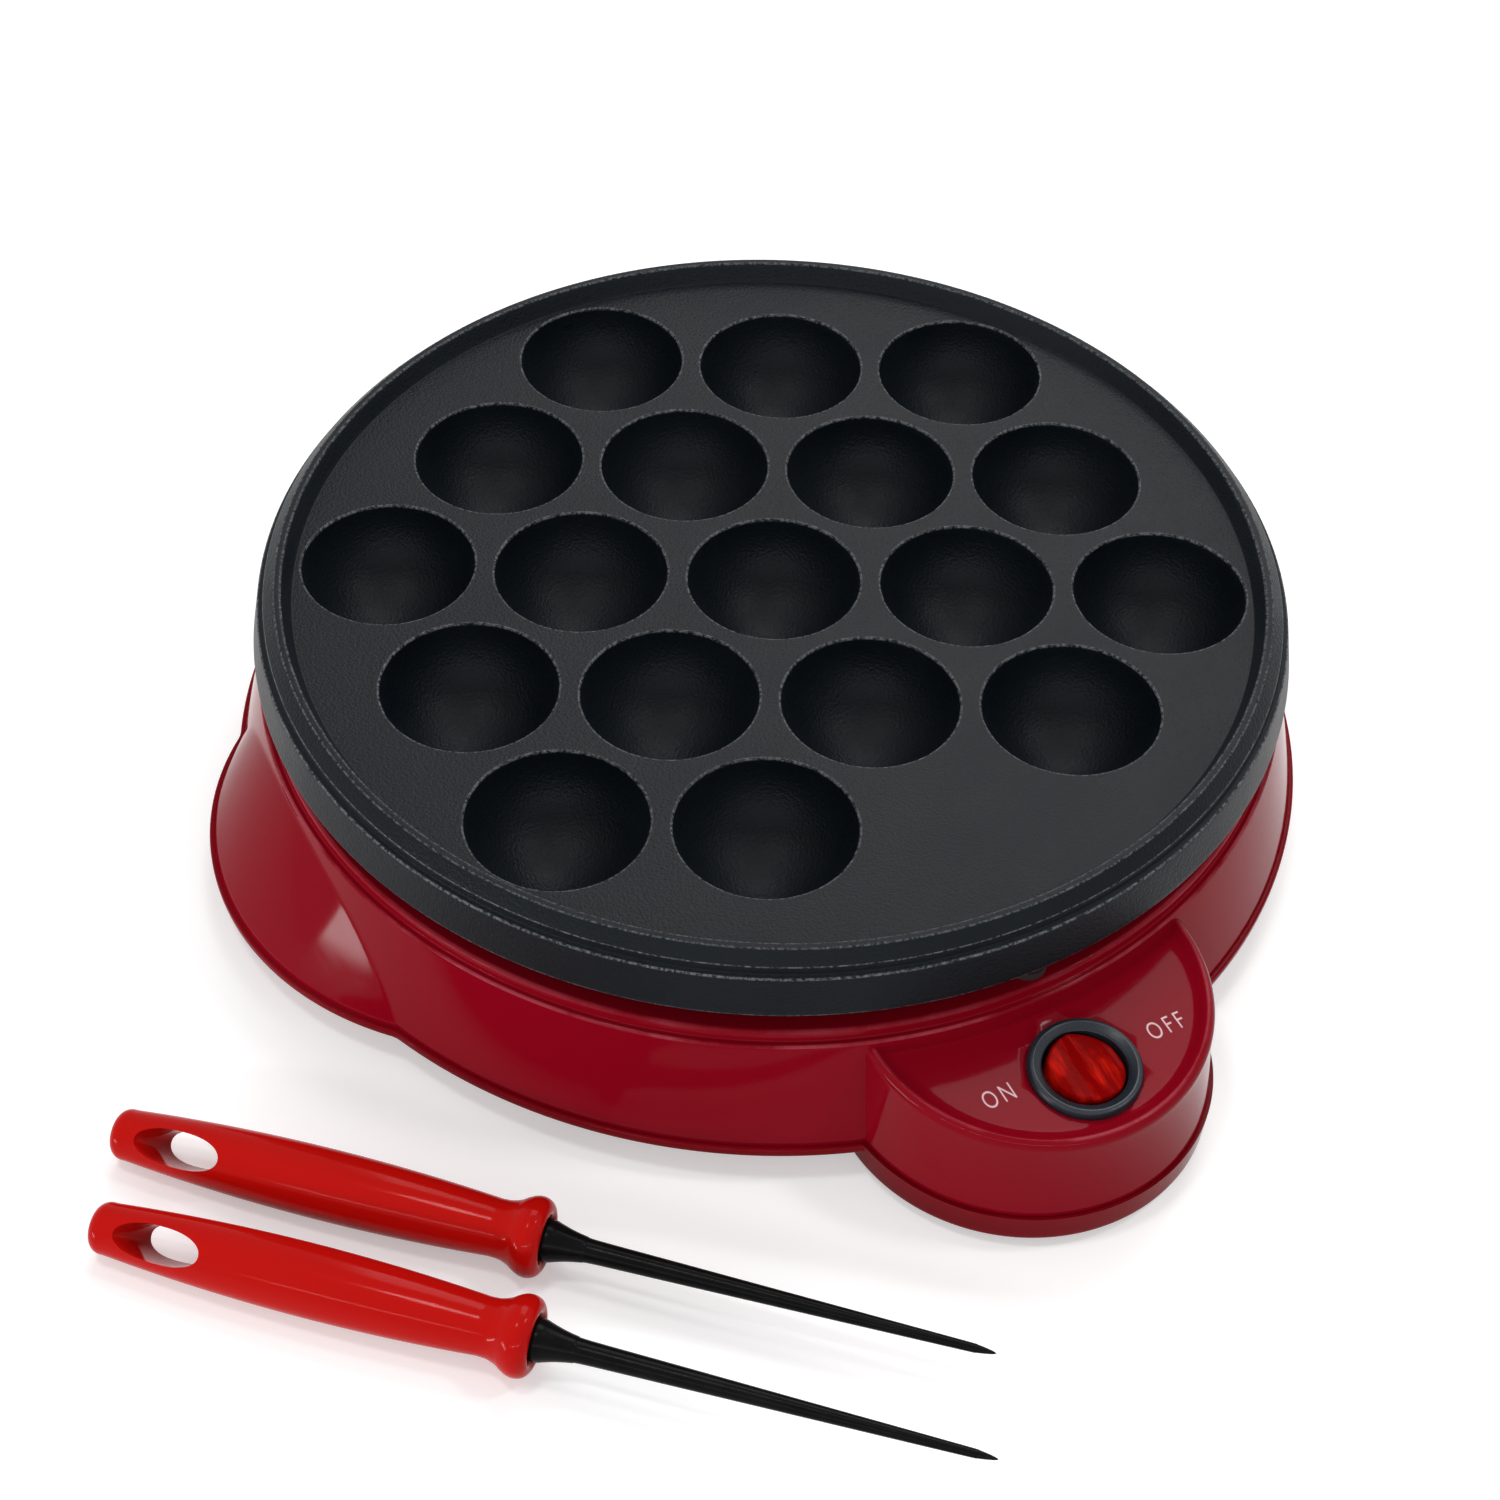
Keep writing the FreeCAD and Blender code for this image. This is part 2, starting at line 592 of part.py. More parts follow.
def make_bottom_tray():
    """Bottom tray: a shallow dish under the housing with a thin lip all round, deeper under the lobe."""
    body = new_body("bottom_tray")
    lip_low = part_line - lip_thickness
    dish(body, "round_dish", foot_radius - tray_flat_inset, foot_radius - 1.2, lip_low,
         foot_radius + lip_reach, tray_round)
    turned(body, "lobe_dish", [
        (0.0, 0.0),
        (lobe_foot_radius - lobe_tray_inset, 0.0),
        (lobe_foot_radius + lip_reach * 0.5, lobe_tray_round, lobe_tray_round),
        (lobe_foot_radius + lip_reach * 0.8, part_line),
        (0.0, part_line),
    ], y=-lobe_centre)
    for side, name in ((-1, "left"), (1, "right")):
        dish(body, f"{name}_grip_dish", grip_radius - tray_flat_inset, grip_radius - 1.2, lip_low,
             grip_radius + lip_reach, tray_round, x=side * grip_foot_centre, y=grip_shift)
    inner = (
        ("round", foot_radius, 0.0, 0.0, tray_flat_inset + 1.6),
        ("lobe", lobe_foot_radius, 0.0, -lobe_centre, lobe_tray_inset + 1.6),
        ("left_grip", grip_radius, -grip_foot_centre, grip_shift, tray_flat_inset + 1.6),
        ("right_grip", grip_radius, grip_foot_centre, grip_shift, tray_flat_inset + 1.6),
    )
    for name, radius, x, y, inset in inner:
        turned(body, f"{name}_inside", [
            (0.0, tray_floor),
            (radius - inset, tray_floor),
            (radius - wall, lip_low),
            (radius - wall, part_line + 1),
            (0.0, part_line + 1),
        ], x=x, y=y, cut=True)
    boss_x = boss_circle * cosine(boss_angle)
    boss_y = boss_circle * sine(boss_angle)
    boss = cylinder(body, "screw_boss", boss_radius, tray_floor - 0.5, part_line, boss_x, boss_y)
    hole = cylinder(body, "screw_hole", screw_radius + 0.3, -1.0, part_line + 1, boss_x, boss_y, cut=True)
    recess = cylinder(body, "head_recess", screw_head_radius + 0.3, -1.0, screw_head_height + 1.0,
                      boss_x, boss_y, cut=True)
    ring_of(body, "screw_bosses", [boss, hole, recess], boss_count)
    stem_x = foot_circle * cosine(boss_angle)
    stem_y = foot_circle * sine(boss_angle)
    stem = cylinder(body, "foot_hole", foot_stem_radius + clearance, -1.0, tray_floor + 1,
                    stem_x, stem_y, cut=True)
    ring_of(body, "foot_holes", [stem], boss_count)
    vent = block(body, "vent", (vent_radius, vent_radius + vent_length), (-vent_width / 2, vent_width / 2),
                 (-1.0, tray_floor + 1), cut=True)
    ring_of(body, "vents", [vent], vent_count)


def make_rubber_feet():
    """Four feet: a pad under the tray, a stem through it and a barb that holds the foot in."""
    body = new_body("rubber_feet")
    barb = foot_stem_radius + 0.8
    foot = turned(body, "foot", [
        (0.0, -foot_drop),
        (foot_pad_radius - 1, -foot_drop),
        (foot_pad_radius, 0.0),
        (foot_stem_radius, 0.0),
        (foot_stem_radius, tray_floor),
        (barb, tray_floor),
        (foot_stem_radius - 0.6, tray_floor + 1.8),
        (0.0, tray_floor + 1.8),
    ], x=foot_circle * cosine(boss_angle), y=foot_circle * sine(boss_angle))
    ring_of(body, "feet", [foot], boss_count)


def make_cord_gland():
    """Bushing that the mains cord passes through, snapped into the back of the housing."""
    body = new_body("cord_gland")
    collar = gland_radius + 0.9
    outer = gland_pad_face + gland_flange_thickness
    inner = gland_inner_face - 2.0
    cylinder_along_y(body, "sleeve", gland_radius, inner - 2, outer, 0.0, gland_height)
    cylinder_along_y(body, "flange", gland_flange_radius, gland_pad_face, outer, 0.0, gland_height)
    cylinder_along_y(body, "collar", collar, inner, gland_inner_face, 0.0, gland_height)
    cylinder_along_y(body, "bore", gland_bore_radius, inner - 3, outer + 1, 0.0, gland_height, cut=True)


def make_screws(label, low, length, spots, head_radius=screw_head_radius):
    """A group of pan-head screws with their points up; spots are (x, y, count of copies round the axis)."""
    body = new_body(label)
    low = as_size(low)
    thread = low + screw_head_height
    for index, (x, y, count) in enumerate(spots):
        parts = [
            turned(body, f"screw_{index}", [
                (0.0, low),
                (head_radius - 0.8, low),
                (head_radius, low + 0.8),
                (head_radius, thread),
                (screw_radius, thread),
                (screw_radius, thread + length - 1),
                (screw_radius - 0.8, thread + length),
                (0.0, thread + length),
            ], x=x, y=y),
        ]
        if count != 1:
            ring_of(body, f"screws_{index}", parts, count)


# ---- Plate ----
def make_cavity(body, name, x, y):
    """One cavity: a cast boss under the plate and the round hollow with its bevelled mouth."""
    outer = cavity_radius + cavity_wall
    boss = turned(body, f"{name}_boss", [
        (0.0, cavity_low),
        (outer * 0.43, cavity_low),
        (outer * 0.86, cavity_low + outer * 0.4),
        (outer, plate_under - 2),
        (outer, plate_under + 0.5),
        (0.0, plate_under + 0.5),
    ], x=x, y=y)
    depth = cook_height - cavity_radius
    hollow = turned(body, f"{name}_hollow", [
        (0.0, depth),
        (cavity_radius, cook_height, cavity_radius),
        (cavity_radius + mouth_bevel, cook_height + 0.001),
        (cavity_radius + mouth_bevel, cook_height + 1),
        (0.0, cook_height + 1),
    ], x=x, y=y, cut=True)
    return [boss, hollow]


def make_cooking_plate():
    """Cast plate: skirt, ledge, raised lip and eighteen cavities, a hexagon without its front corner."""
    body = new_body("cooking_plate")
    skirt_top = plate_radius - skirt_draft
    lip_foot = plate_radius - lip_foot_inset
    crest_outer = plate_radius - crest_outer_inset
    crest_inner = crest_outer - crest_width
    turned(body, "pan", [
        (0.0, plate_under),
        (skirt_top - skirt_wall, plate_under),
        (plate_radius - skirt_wall, plate_low),
        (plate_radius, plate_low),
        (skirt_top, ledge_height),
        (lip_foot, ledge_height + 0.3),
        (lip_foot - 0.2, lip_shoulder_height),
        (crest_outer, crest_height),
        (crest_inner, crest_height),
        (crest_inner - lip_slope, cook_height),
        (0.0, cook_height),
    ])
    make_cavity(body, "centre", 0.0, 0.0)
    half = math.cos(math.pi / 6)
    near = make_cavity(body, "near", cavity_pitch * half, cavity_pitch / 2)
    ring_of(body, "near_ring", near, 6)
    flank = make_cavity(body, "flank", cavity_pitch * (2 * half), 0.0)
    ring_of(body, "flank_ring", flank, 6)
    corner = make_cavity(body, "corner", cavity_pitch * (2 * half), -cavity_pitch)
    ring_of(body, "corner_ring", corner, 5, 240.0)
    top = plate_under + 0.5
    boss = cylinder(body, "plate_boss", boss_radius, plate_boss_low, top, x=plate_boss_circle)
    pilot = cylinder(body, "plate_pilot", screw_radius + clearance, plate_boss_low - 1, plate_under - 1,
                     x=plate_boss_circle, cut=True)
    ring_of(body, "plate_bosses", [boss, pilot], boss_count)
    stud = cylinder(body, "clip_stud", stud_radius, clip_stud_low, top, x=clip_stud_circle)
    bore = cylinder(body, "clip_bore", screw_radius + clearance, clip_stud_low - 1, clip_stud_low + 12,
                    x=clip_stud_circle, cut=True)
    ring_of(body, "clip_studs", [stud, bore], 3)
    stud = cylinder(body, "bracket_stud", stud_radius, bracket_stud_low, top, x=bracket_stud_circle)
    bore = cylinder(body, "bracket_bore", screw_radius + clearance, bracket_stud_low - 1,
                    bracket_stud_low + 12, x=bracket_stud_circle, cut=True)
    ring_of(body, "bracket_studs", [stud, bore], 2)


def make_plate_spacers():
    """Four heat-proof washers between the plate's bosses and the housing's top ring."""
    body = new_body("plate_spacers")
    washer = cylinder(body, "washer", boss_radius, rim_height, plate_boss_low, x=plate_boss_circle)
    hole = cylinder(body, "washer_hole", screw_radius + 0.6, rim_height - 1, plate_boss_low + 1,
                    x=plate_boss_circle, cut=True)
    ring_of(body, "washers", [washer, hole], boss_count)


# ---- Heater ----
def make_reflector_pan():
    """Thin sheet dish under the heater, its flange clamped under the housing's top ring."""
    body = new_body("reflector_pan")
    rise = ring_underside - pan_sheet - pan_floor
    wall_top = pan_floor_radius + rise * 1.14
    turned(body, "pan", [
        (0.0, pan_floor),
        (pan_floor_radius, pan_floor),
        (wall_top, ring_underside - pan_sheet),
        (pan_flange_radius, ring_underside - pan_sheet),
        (pan_flange_radius, ring_underside),
        (wall_top - pan_sheet * 0.5, ring_underside),
        (pan_floor_radius - pan_sheet * 0.5, pan_top),
        (0.0, pan_top),
    ])
    cylinder(body, "thermostat_hole", pan_centre_hole, pan_floor - 1, pan_top + 1, cut=True)
    for side, name in ((-1, "left"), (1, "right")):
        cylinder(body, f"{name}_leg_hole", insulator_radius + clearance, pan_floor - 1, pan_top + 1,
                 side * leg_x, leg_y, cut=True)
    cylinder(body, "clamp_screw_hole", screw_radius + clearance, pan_floor - 1, pan_top + 1,
             clamp_screw_x, cut=True)
    cylinder(body, "earth_screw_hole", screw_radius + clearance, pan_floor - 1, pan_top + 1,
             -earth_radius, earth_radius * 0.5, cut=True)
    notch = cylinder(body, "boss_notch", boss_radius + 0.5, ring_underside - 2, ring_underside + 1,
                     boss_circle * cosine(boss_angle), boss_circle * sine(boss_angle), cut=True)
    ring_of(body, "boss_notches", [notch], boss_count)
    hole = cylinder(body, "flange_hole", screw_radius + 0.6, ring_underside - 2, ring_underside + 1,
                    x=plate_boss_circle, cut=True)
    ring_of(body, "flange_holes", [hole], boss_count)


def make_heating_element():
    """Tubular heater: an open ring under the cavities whose two ends bend down through the pan."""
    radius, height, bend = heater_radius.number, heater_height.number, heater_bend.number
    gap = math.radians(heater_gap_angle.number)
    up = Vector(0, 0, 1)
    start = Vector(radius * math.sin(gap), -radius * math.cos(gap), height)
    end = Vector(-start.x, start.y, height)
    edges = []
    for point, side in ((start, 1), (end, -1)):
        outward = Vector(-side * math.cos(gap), -math.sin(gap), 0)
        corner = point + outward * bend - up * bend
        middle = point - up * bend + (outward + up) * (bend / math.sqrt(2))
        foot = Vector(corner.x, corner.y, heater_leg_low.number)
        edges.append((Part.LineSegment(foot, corner), Part.Arc(corner, middle, point), foot))
    ring = Part.Arc(start, Vector(0, radius, height), end)
    path = Part.Wire([
        edges[0][0].toShape(),
        edges[0][1].toShape(),
        ring.toShape(),
        edges[1][1].toShape(),
        edges[1][0].toShape(),
    ])
    section = Part.Wire(Part.Circle(edges[0][2], up, tube_radius.number).toShape())
    plain("heating_element", path.makePipeShell([section], True, False))


def make_element_insulators():
    """Two ceramic bushes that carry the heater's ends through the pan."""
    body = new_body("element_insulators")
    low = pan_floor - 2.2
    for side, name in ((-1, "left"), (1, "right")):
        turned(body, name, [
            (tube_radius + clearance, low),
            (insulator_collar, low),
            (insulator_collar, pan_floor),
            (insulator_radius, pan_floor),
            (insulator_radius, pan_top + 0.7),
            (tube_radius + clearance, pan_top + 0.7),
        ], x=side * leg_x, y=leg_y)


def make_blades(label, spots, high, width=blade_width):
    """Flat connector blades that stand down from a height, their broad sides facing left and right."""
    body = new_body(label)
    high = as_size(high)
    for index, (x, y) in enumerate(spots):
        block(body, f"blade_{index}", (x - blade_thickness / 2, x + blade_thickness / 2),
              (y - width / 2, y + width / 2), (high - blade_length, high))
    return body


def make_element_clips():
    """Three straps that hold the heater up: each is screwed to a stud and turns up outside the tube."""
    body = new_body("element_clips")
    low = clip_stud_low - strap_sheet
    start = clip_stud_circle - strap_width / 2
    end = heater_radius + tube_radius + 0.4
    across = (-strap_width / 2, strap_width / 2)
    strap = block(body, "strap", (start, end + strap_sheet), across, (low, clip_stud_low))
    hook = block(body, "hook", (end, end + strap_sheet), across, (low, heater_height + 1.5))
    hole = cylinder(body, "hole", screw_radius + 0.2, low - 1, clip_stud_low + 1,
                    x=clip_stud_circle, cut=True)
    ring_of(body, "clips", [strap, hook, hole], 3)


def make_thermostat():
    """Bimetal thermostat: a metal cap against the middle cavity and a moulded body below it."""
    body = new_body("thermostat")
    turned(body, "case", [
        (0.0, cavity_low - thermostat_height),
        (thermostat_radius, cavity_low - thermostat_height),
        (thermostat_radius, bracket_stud_low),
        (thermostat_cap_radius, bracket_stud_low),
        (thermostat_cap_radius, cavity_low - 0.6),
        (thermostat_cap_radius - 0.6, cavity_low),
        (0.0, cavity_low),
    ])


def make_thermostat_bracket():
    """Strap with a ring in the middle that presses the thermostat's cap against the plate."""
    body = new_body("thermostat_bracket")
    low = bracket_stud_low - strap_sheet
    reach = bracket_stud_circle + 4.5
    cylinder(body, "ring", thermostat_radius + 3.4, low, bracket_stud_low)
    block(body, "strap", (-reach, reach), (-strap_width / 2, strap_width / 2), (low, bracket_stud_low))
    cylinder(body, "ring_hole", thermostat_radius + clearance, low - 1, bracket_stud_low + 1, cut=True)
    hole = cylinder(body, "screw_hole", screw_radius + 0.2, low - 1, bracket_stud_low + 1,
                    x=bracket_stud_circle, cut=True)
    ring_of(body, "screw_holes", [hole], 2)


def make_thermal_fuse():
    """The thermal fuse, its insulating sleeve and the clamp that holds both under the pan."""
    half = fuse_length / 2
    fuse = new_body("thermal_fuse")
    cylinder_along_y(fuse, "case", fuse_radius, -half, half, -fuse_side, fuse_height)
    for side, name in ((-1, "front_wire"), (1, "back_wire")):
        low = -half - 4 if side < 0 else half
        cylinder_along_y(fuse, name, lead_radius / 2, low, low + 4, -fuse_side, fuse_height)
    sleeve = new_body("fuse_sleeve")
    bore = fuse_radius + clearance
    outer = bore + sleeve_wall
    half = sleeve_length / 2
    cylinder_along_y(sleeve, "sleeve", outer, -half, half, -fuse_side, fuse_height)
    cylinder_along_y(sleeve, "bore", bore, -half - 1, half + 1, -fuse_side, fuse_height, cut=True)
    clamp = new_body("fuse_clamp")
    grip = outer + clearance
    low = pan_floor - clamp_sheet
    cylinder_along_y(clamp, "loop", grip + clamp_sheet, -3.0, 3.0, -fuse_side, fuse_height)
    block(clamp, "tab", (clamp_screw_x - 3.5, -fuse_side), (-3.0, 3.0), (low, pan_floor))
    block(clamp, "riser", (-fuse_side - 1.2, -fuse_side + 1.2), (-3.0, 3.0), (fuse_height + outer, pan_floor))
    cylinder_along_y(clamp, "loop_bore", grip, -4.0, 4.0, -fuse_side, fuse_height, cut=True)
    cylinder(clamp, "hole", screw_radius + clearance, low - 1, pan_floor + 1, clamp_screw_x, 0.0, cut=True)


# ---- Terminal block and leads ----
def make_terminal_block():
    """Moulded block with four poles: a wire bore through each and a clamping screw from above."""
    body = new_body("terminal_block")
    half = block_length / 2
    top = tray_floor + block_height
    first = pole_pitch * -1.5
    block(body, "block", (-half, half), (block_front, block_front + block_width), (tray_floor, top))
    for pole in range(4):
        cylinder_along_y(body, f"wire_bore_{pole}", pole_bore, block_front - 1, block_front + block_width + 1,
                         first + pole_pitch * pole, pole_height, cut=True)
    shaft = cylinder(body, "screw_shaft", screw_radius + clearance, pole_height, top + 1,
                     first, block_back, cut=True)
    row_of(body, "screw_shafts", [shaft], 4, pole_pitch)
    screws = new_body("terminal_screws")
    screw = cylinder(screws, "screw", screw_radius, pole_height + lead_radius + clearance, top - 0.4,
                     first, block_back)
    row_of(screws, "screws", [screw], 4, pole_pitch)


def lead(label, points):
    """A round insulated lead along straight runs joined by tangent arcs, as large as the runs allow."""
    points = [Vector(*point) for point in points]
    edges = []
    last = points[0]
    for before, corner, after in zip(points, points[1:], points[2:]):
        back = (before - corner).normalize()
        ahead = (after - corner).normalize()
        shorter = min((before - corner).Length, (after - corner).Length)
        cut_back = 0.45 * shorter
        turn = math.pi - back.getAngle(ahead)
        radius = cut_back / math.tan(turn / 2)
        enter = corner + back * cut_back
        leave = corner + ahead * cut_back
        inward = (back + ahead).normalize()
        middle = corner + inward * (radius / math.cos(turn / 2) - radius)
        edges.append(Part.LineSegment(last, enter).toShape())
        edges.append(Part.Arc(enter, middle, leave).toShape())
        print(f"{label}: bend radius {radius:.1f}")
        last = leave
    edges.append(Part.LineSegment(last, points[-1]).toShape())
    path = Part.Wire(edges)
    along = (points[1] - points[0]).normalize()
    section = Part.Wire(Part.Circle(points[0], along, lead_radius.number).toShape())
    tube = path.makePipeShell([section], True, False)
    expected = math.pi * lead_radius.number ** 2 * path.Length
    if abs(tube.Volume - expected) > 0.01 * expected:
        raise ValueError(f"{label}: volume {tube.Volume:.1f} is not section times length, {expected:.1f}")
    plain(label, tube)


def make_leads():
    """Seven insulated leads between terminal block, switch, thermostat, heater and fuse."""
    pole_y = block_front.number + lead_grip.number
    pole_z = pole_height.number
    front = block_front.number
    poles = [pole_pitch.number * step for step in (-1.5, -0.5, 0.5, 1.5)]
    tab_y, tab_z = (value.number for value in on_panel(-switch_y + blade_width * 0.4, switch_low - 5))
    near_y, near_z = (value.number for value in on_panel(-switch_y + 16, switch_low - 5))
    tab = tab_pitch.number
    pin_x = leg_x.number
    pin_y = leg_y.number + blade_width.number / 2
    pin_z = heater_leg_low.number - 4
    thermostat_y = -blade_width.number / 2
    thermostat_z = cavity_low.number - thermostat_height.number - 5.5
    fuse_x = -fuse_side.number
    fuse_end = fuse_length.number / 2 + 4
    fuse_z = fuse_height.number
    lead("live_lead", [
        (poles[3], pole_y, pole_z),
        (poles[3], front - 12, pole_z),
        (42, 50, 7),
        (48, 10, 7),
        (46, -30, 7),
        (34, -70, 7.5),
        (14, -102, near_z),
        (tab, near_y, near_z),
        (tab, tab_y, tab_z),
    ])
    lead("switched_lead", [
        (0, tab_y, tab_z),
        (0, near_y, near_z),
        (2, -90, 7),
        (8, -55, 6.5),
        (4, -30, 9),
        (-4, -15, thermostat_z),
        (-4, thermostat_y, thermostat_z),
    ])
    lead("heater_lead", [
        (4, thermostat_y, thermostat_z),
        (4, -14, thermostat_z),
        (12, -32, pin_z + 1),
        (pin_x, -50, pin_z),
        (pin_x, pin_y, pin_z),
    ])
    lead("fuse_lead", [
        (-pin_x, pin_y, pin_z),
        (-pin_x, -51, pin_z),
        (-24, -36, pin_z + 2.5),
        (fuse_x, -20, fuse_z),
        (fuse_x, -fuse_end, fuse_z),
    ])
    lead("neutral_lead", [
        (fuse_x, fuse_end, fuse_z),
        (fuse_x, 22, fuse_z),
        (fuse_x + 4, 42, 12),
        (poles[1] - 6, 64, 8.5),
        (poles[1], front - 10, pole_z),
        (poles[1], pole_y, pole_z),
    ])
    lead("lamp_lead", [
        (poles[2], pole_y, pole_z),
        (poles[2], front - 14, pole_z),
        (16, 50, 5.5),
        (26, 18, 5),
        (24, -20, 5),
        (-2, -46, 4.6),
        (-14, -80, 5),
        (-tab - 4, -104, near_z - 1),
        (-tab, near_y, near_z),
        (-tab, tab_y, tab_z),
    ])
    earth_x = -earth_radius.number
    earth_y = earth_radius.number * 0.5
    lead("earth_lead", [
        (poles[0], pole_y, pole_z),
        (poles[0], front - 12, pole_z),
        (-34, 66, 7.5),
        (-54, 54, 11),
        (earth_x, earth_y + 14, 15),
        (earth_x, earth_y + 3.4, 17.4),
    ])


# ---- Rocker switch ----
def make_switch_housing():
    """Round switch body with the bezel flange on the panel, open at the top for the rocker."""
    body = new_body("switch_housing")
    top = panel_height + bezel_height
    turned(body, "case", [
        (0.0, switch_low),
        (switch_radius, switch_low),
        (switch_radius, panel_height),
        (bezel_radius, panel_height),
        (bezel_radius, top - bezel_bevel),
        (bezel_radius - bezel_bevel * 1.6, top),
        (switch_bore + 0.5, top),
        (switch_bore, top - 0.5),
        (switch_bore, switch_low + switch_floor),
        (0.0, switch_low + switch_floor),
    ], y=-switch_y)
    cylinder_along_y(body, "pivot_hole", pivot_radius + clearance, -switch_y - switch_radius - 1,
                     -switch_y + switch_radius + 1, 0.0, pivot_height, cut=True)
    post = lever_width / 2 + 0.4
    for side, name in ((-1, "front"), (1, "back")):
        low = -switch_y + (post if side > 0 else -post - 1.2)
        block(body, f"{name}_post", (-1.6, 1.6), (low, low + 1.2),
              (switch_low + switch_floor - 0.5, lever_height + 0.9))
    cylinder_along_y(body, "lever_hole", lever_pin_radius + clearance, -switch_y - post - 2,
                     -switch_y + post + 2, 0.0, lever_height, cut=True)
    lean(body)


def cylinder_part(name, radius, height, angle_axis, base):
    """A Part cylinder along Y or Z in the rocker's own frame."""
    part = DOCUMENT.addObject("Part::Cylinder", name)
    part.Placement = Placement(Vector(), Rotation(angle_axis, -QUARTER_TURN if angle_axis.x else 0.0))
    bind(part, Radius=radius, Height=height)
    for axis, value in zip("xyz", base):
        bind(part, **{f"Placement__Base__{axis}": value})
    return part


def make_switch_rocker():
    """Rocker: a round pad with two finger scoops either side of a ridge, on a pivot pin."""
    flat, upright = Vector(1, 0, 0), Vector(0, 0, 1)
    pad = cylinder_part("rocker_pad", rocker_radius, rocker_ridge + rocker_depth, upright,
                        (0, 0, -rocker_depth))
    swing = cylinder_part("rocker_swing", rocker_swing_radius, rocker_radius * 2 + 2, flat,
                          (0, -rocker_radius - 1, 0))
    blank = DOCUMENT.addObject("Part::Common", "rocker_blank")
    blank.Base = pad
    blank.Tool = swing
    for side, name in ((-1, "left"), (1, "right")):
        scoop = cylinder_part(f"{name}_scoop", scoop_radius, rocker_radius * 2 + 2, flat,
                              (side * scoop_side, -rocker_radius - 1, scoop_height))
        cut = DOCUMENT.addObject("Part::Cut", f"{name}_scooped")
        cut.Base = blank
        cut.Tool = scoop
        blank = cut
    pin_length = switch_radius - 0.2
    pin = cylinder_part("rocker_pin", pivot_radius, pin_length * 2, flat, (0, -pin_length, 0))
    rocker = DOCUMENT.addObject("Part::Fuse", "switch_rocker")
    rocker.Base = blank
    rocker.Tool = pin
    rocker.Label = "switch_rocker"
    lean(rocker, -switch_y, pivot_height, rocker_tilt)
    SUB_PARTS.append(rocker)


def make_switch_plunger():
    """Sprung plunger under the rocker: a stem with a round nose that presses the contact lever."""
    body = new_body("switch_plunger")
    nose = plunger_radius
    turned(body, "stem", [
        (0.0, -plunger_reach),
        (nose, -plunger_reach + nose, nose),
        (nose, -rocker_depth),
        (0.0, -rocker_depth),
    ])
    lean(body, -switch_y, pivot_height, rocker_tilt)


def make_contact_lever():
    """See-saw contact inside the switch: a bent strip on a pin, with a contact button at each end."""
    body = new_body("contact_lever")
    half = lever_length / 2
    width = lever_width / 2
    block(body, "strip", (-half, half), (-width, width), (-lever_sheet / 2, lever_sheet / 2))
    cylinder_along_y(body, "pin", lever_pin_radius, -width - 1.4, width + 1.4, 0.0, 0.0)
    for side, name in ((-1, "left_contact"), (1, "right_contact")):
        cylinder(body, name, 1.1, -lever_sheet / 2 - 0.6, lever_sheet / 2, x=side * (half - 1.5))
    lean(body, -switch_y, lever_height, -lever_tilt)


def make_switch_lamp():
    """Small neon lamp that lies across the switch beside the lever."""
    body = new_body("switch_lamp")
    tube = body.newObject("PartDesign::AdditiveCylinder", "tube")
    tube.Placement = Placement(Vector(), Rotation(Vector(0, 1, 0), QUARTER_TURN))
    bind(tube, Radius=lamp_radius, Height=lamp_length)
    bind(tube, Placement__Base__x=-lamp_length / 2, Placement__Base__y=-switch_y + lamp_side,
         Placement__Base__z=switch_low + switch_floor + lamp_radius + 0.1)
    lean(body)


# ---- Picks ----
def lay_pick(body, number):
    """Lays a pick on the table, the second beside the first."""
    x = pick_back_x + pick_step_x * number
    y = pick_back_y + pick_step_y * number
    z = table + pick_rise
    place = f"create(<<vector>>; {x.text}; {y.text}; {z.text})"
    turn = f"create(<<rotation>>; {pick_yaw.text}; {pick_pitch.text}; {pick_roll.text})"
    body.setExpression("Placement", f"create(<<placement>>; {place}; {turn})")


def slot_outline(body, name, start, end, width, height):
    """A slot with round ends on a plane across the handle."""
    half = width / 2
    end_radius = half * 1.05
    return outline(body, name, "XY_Plane", [
        (start + half, -half, end_radius),
        (end - half, -half),
        (end - half, half, end_radius),
        (start + half, half),
    ], z=height)


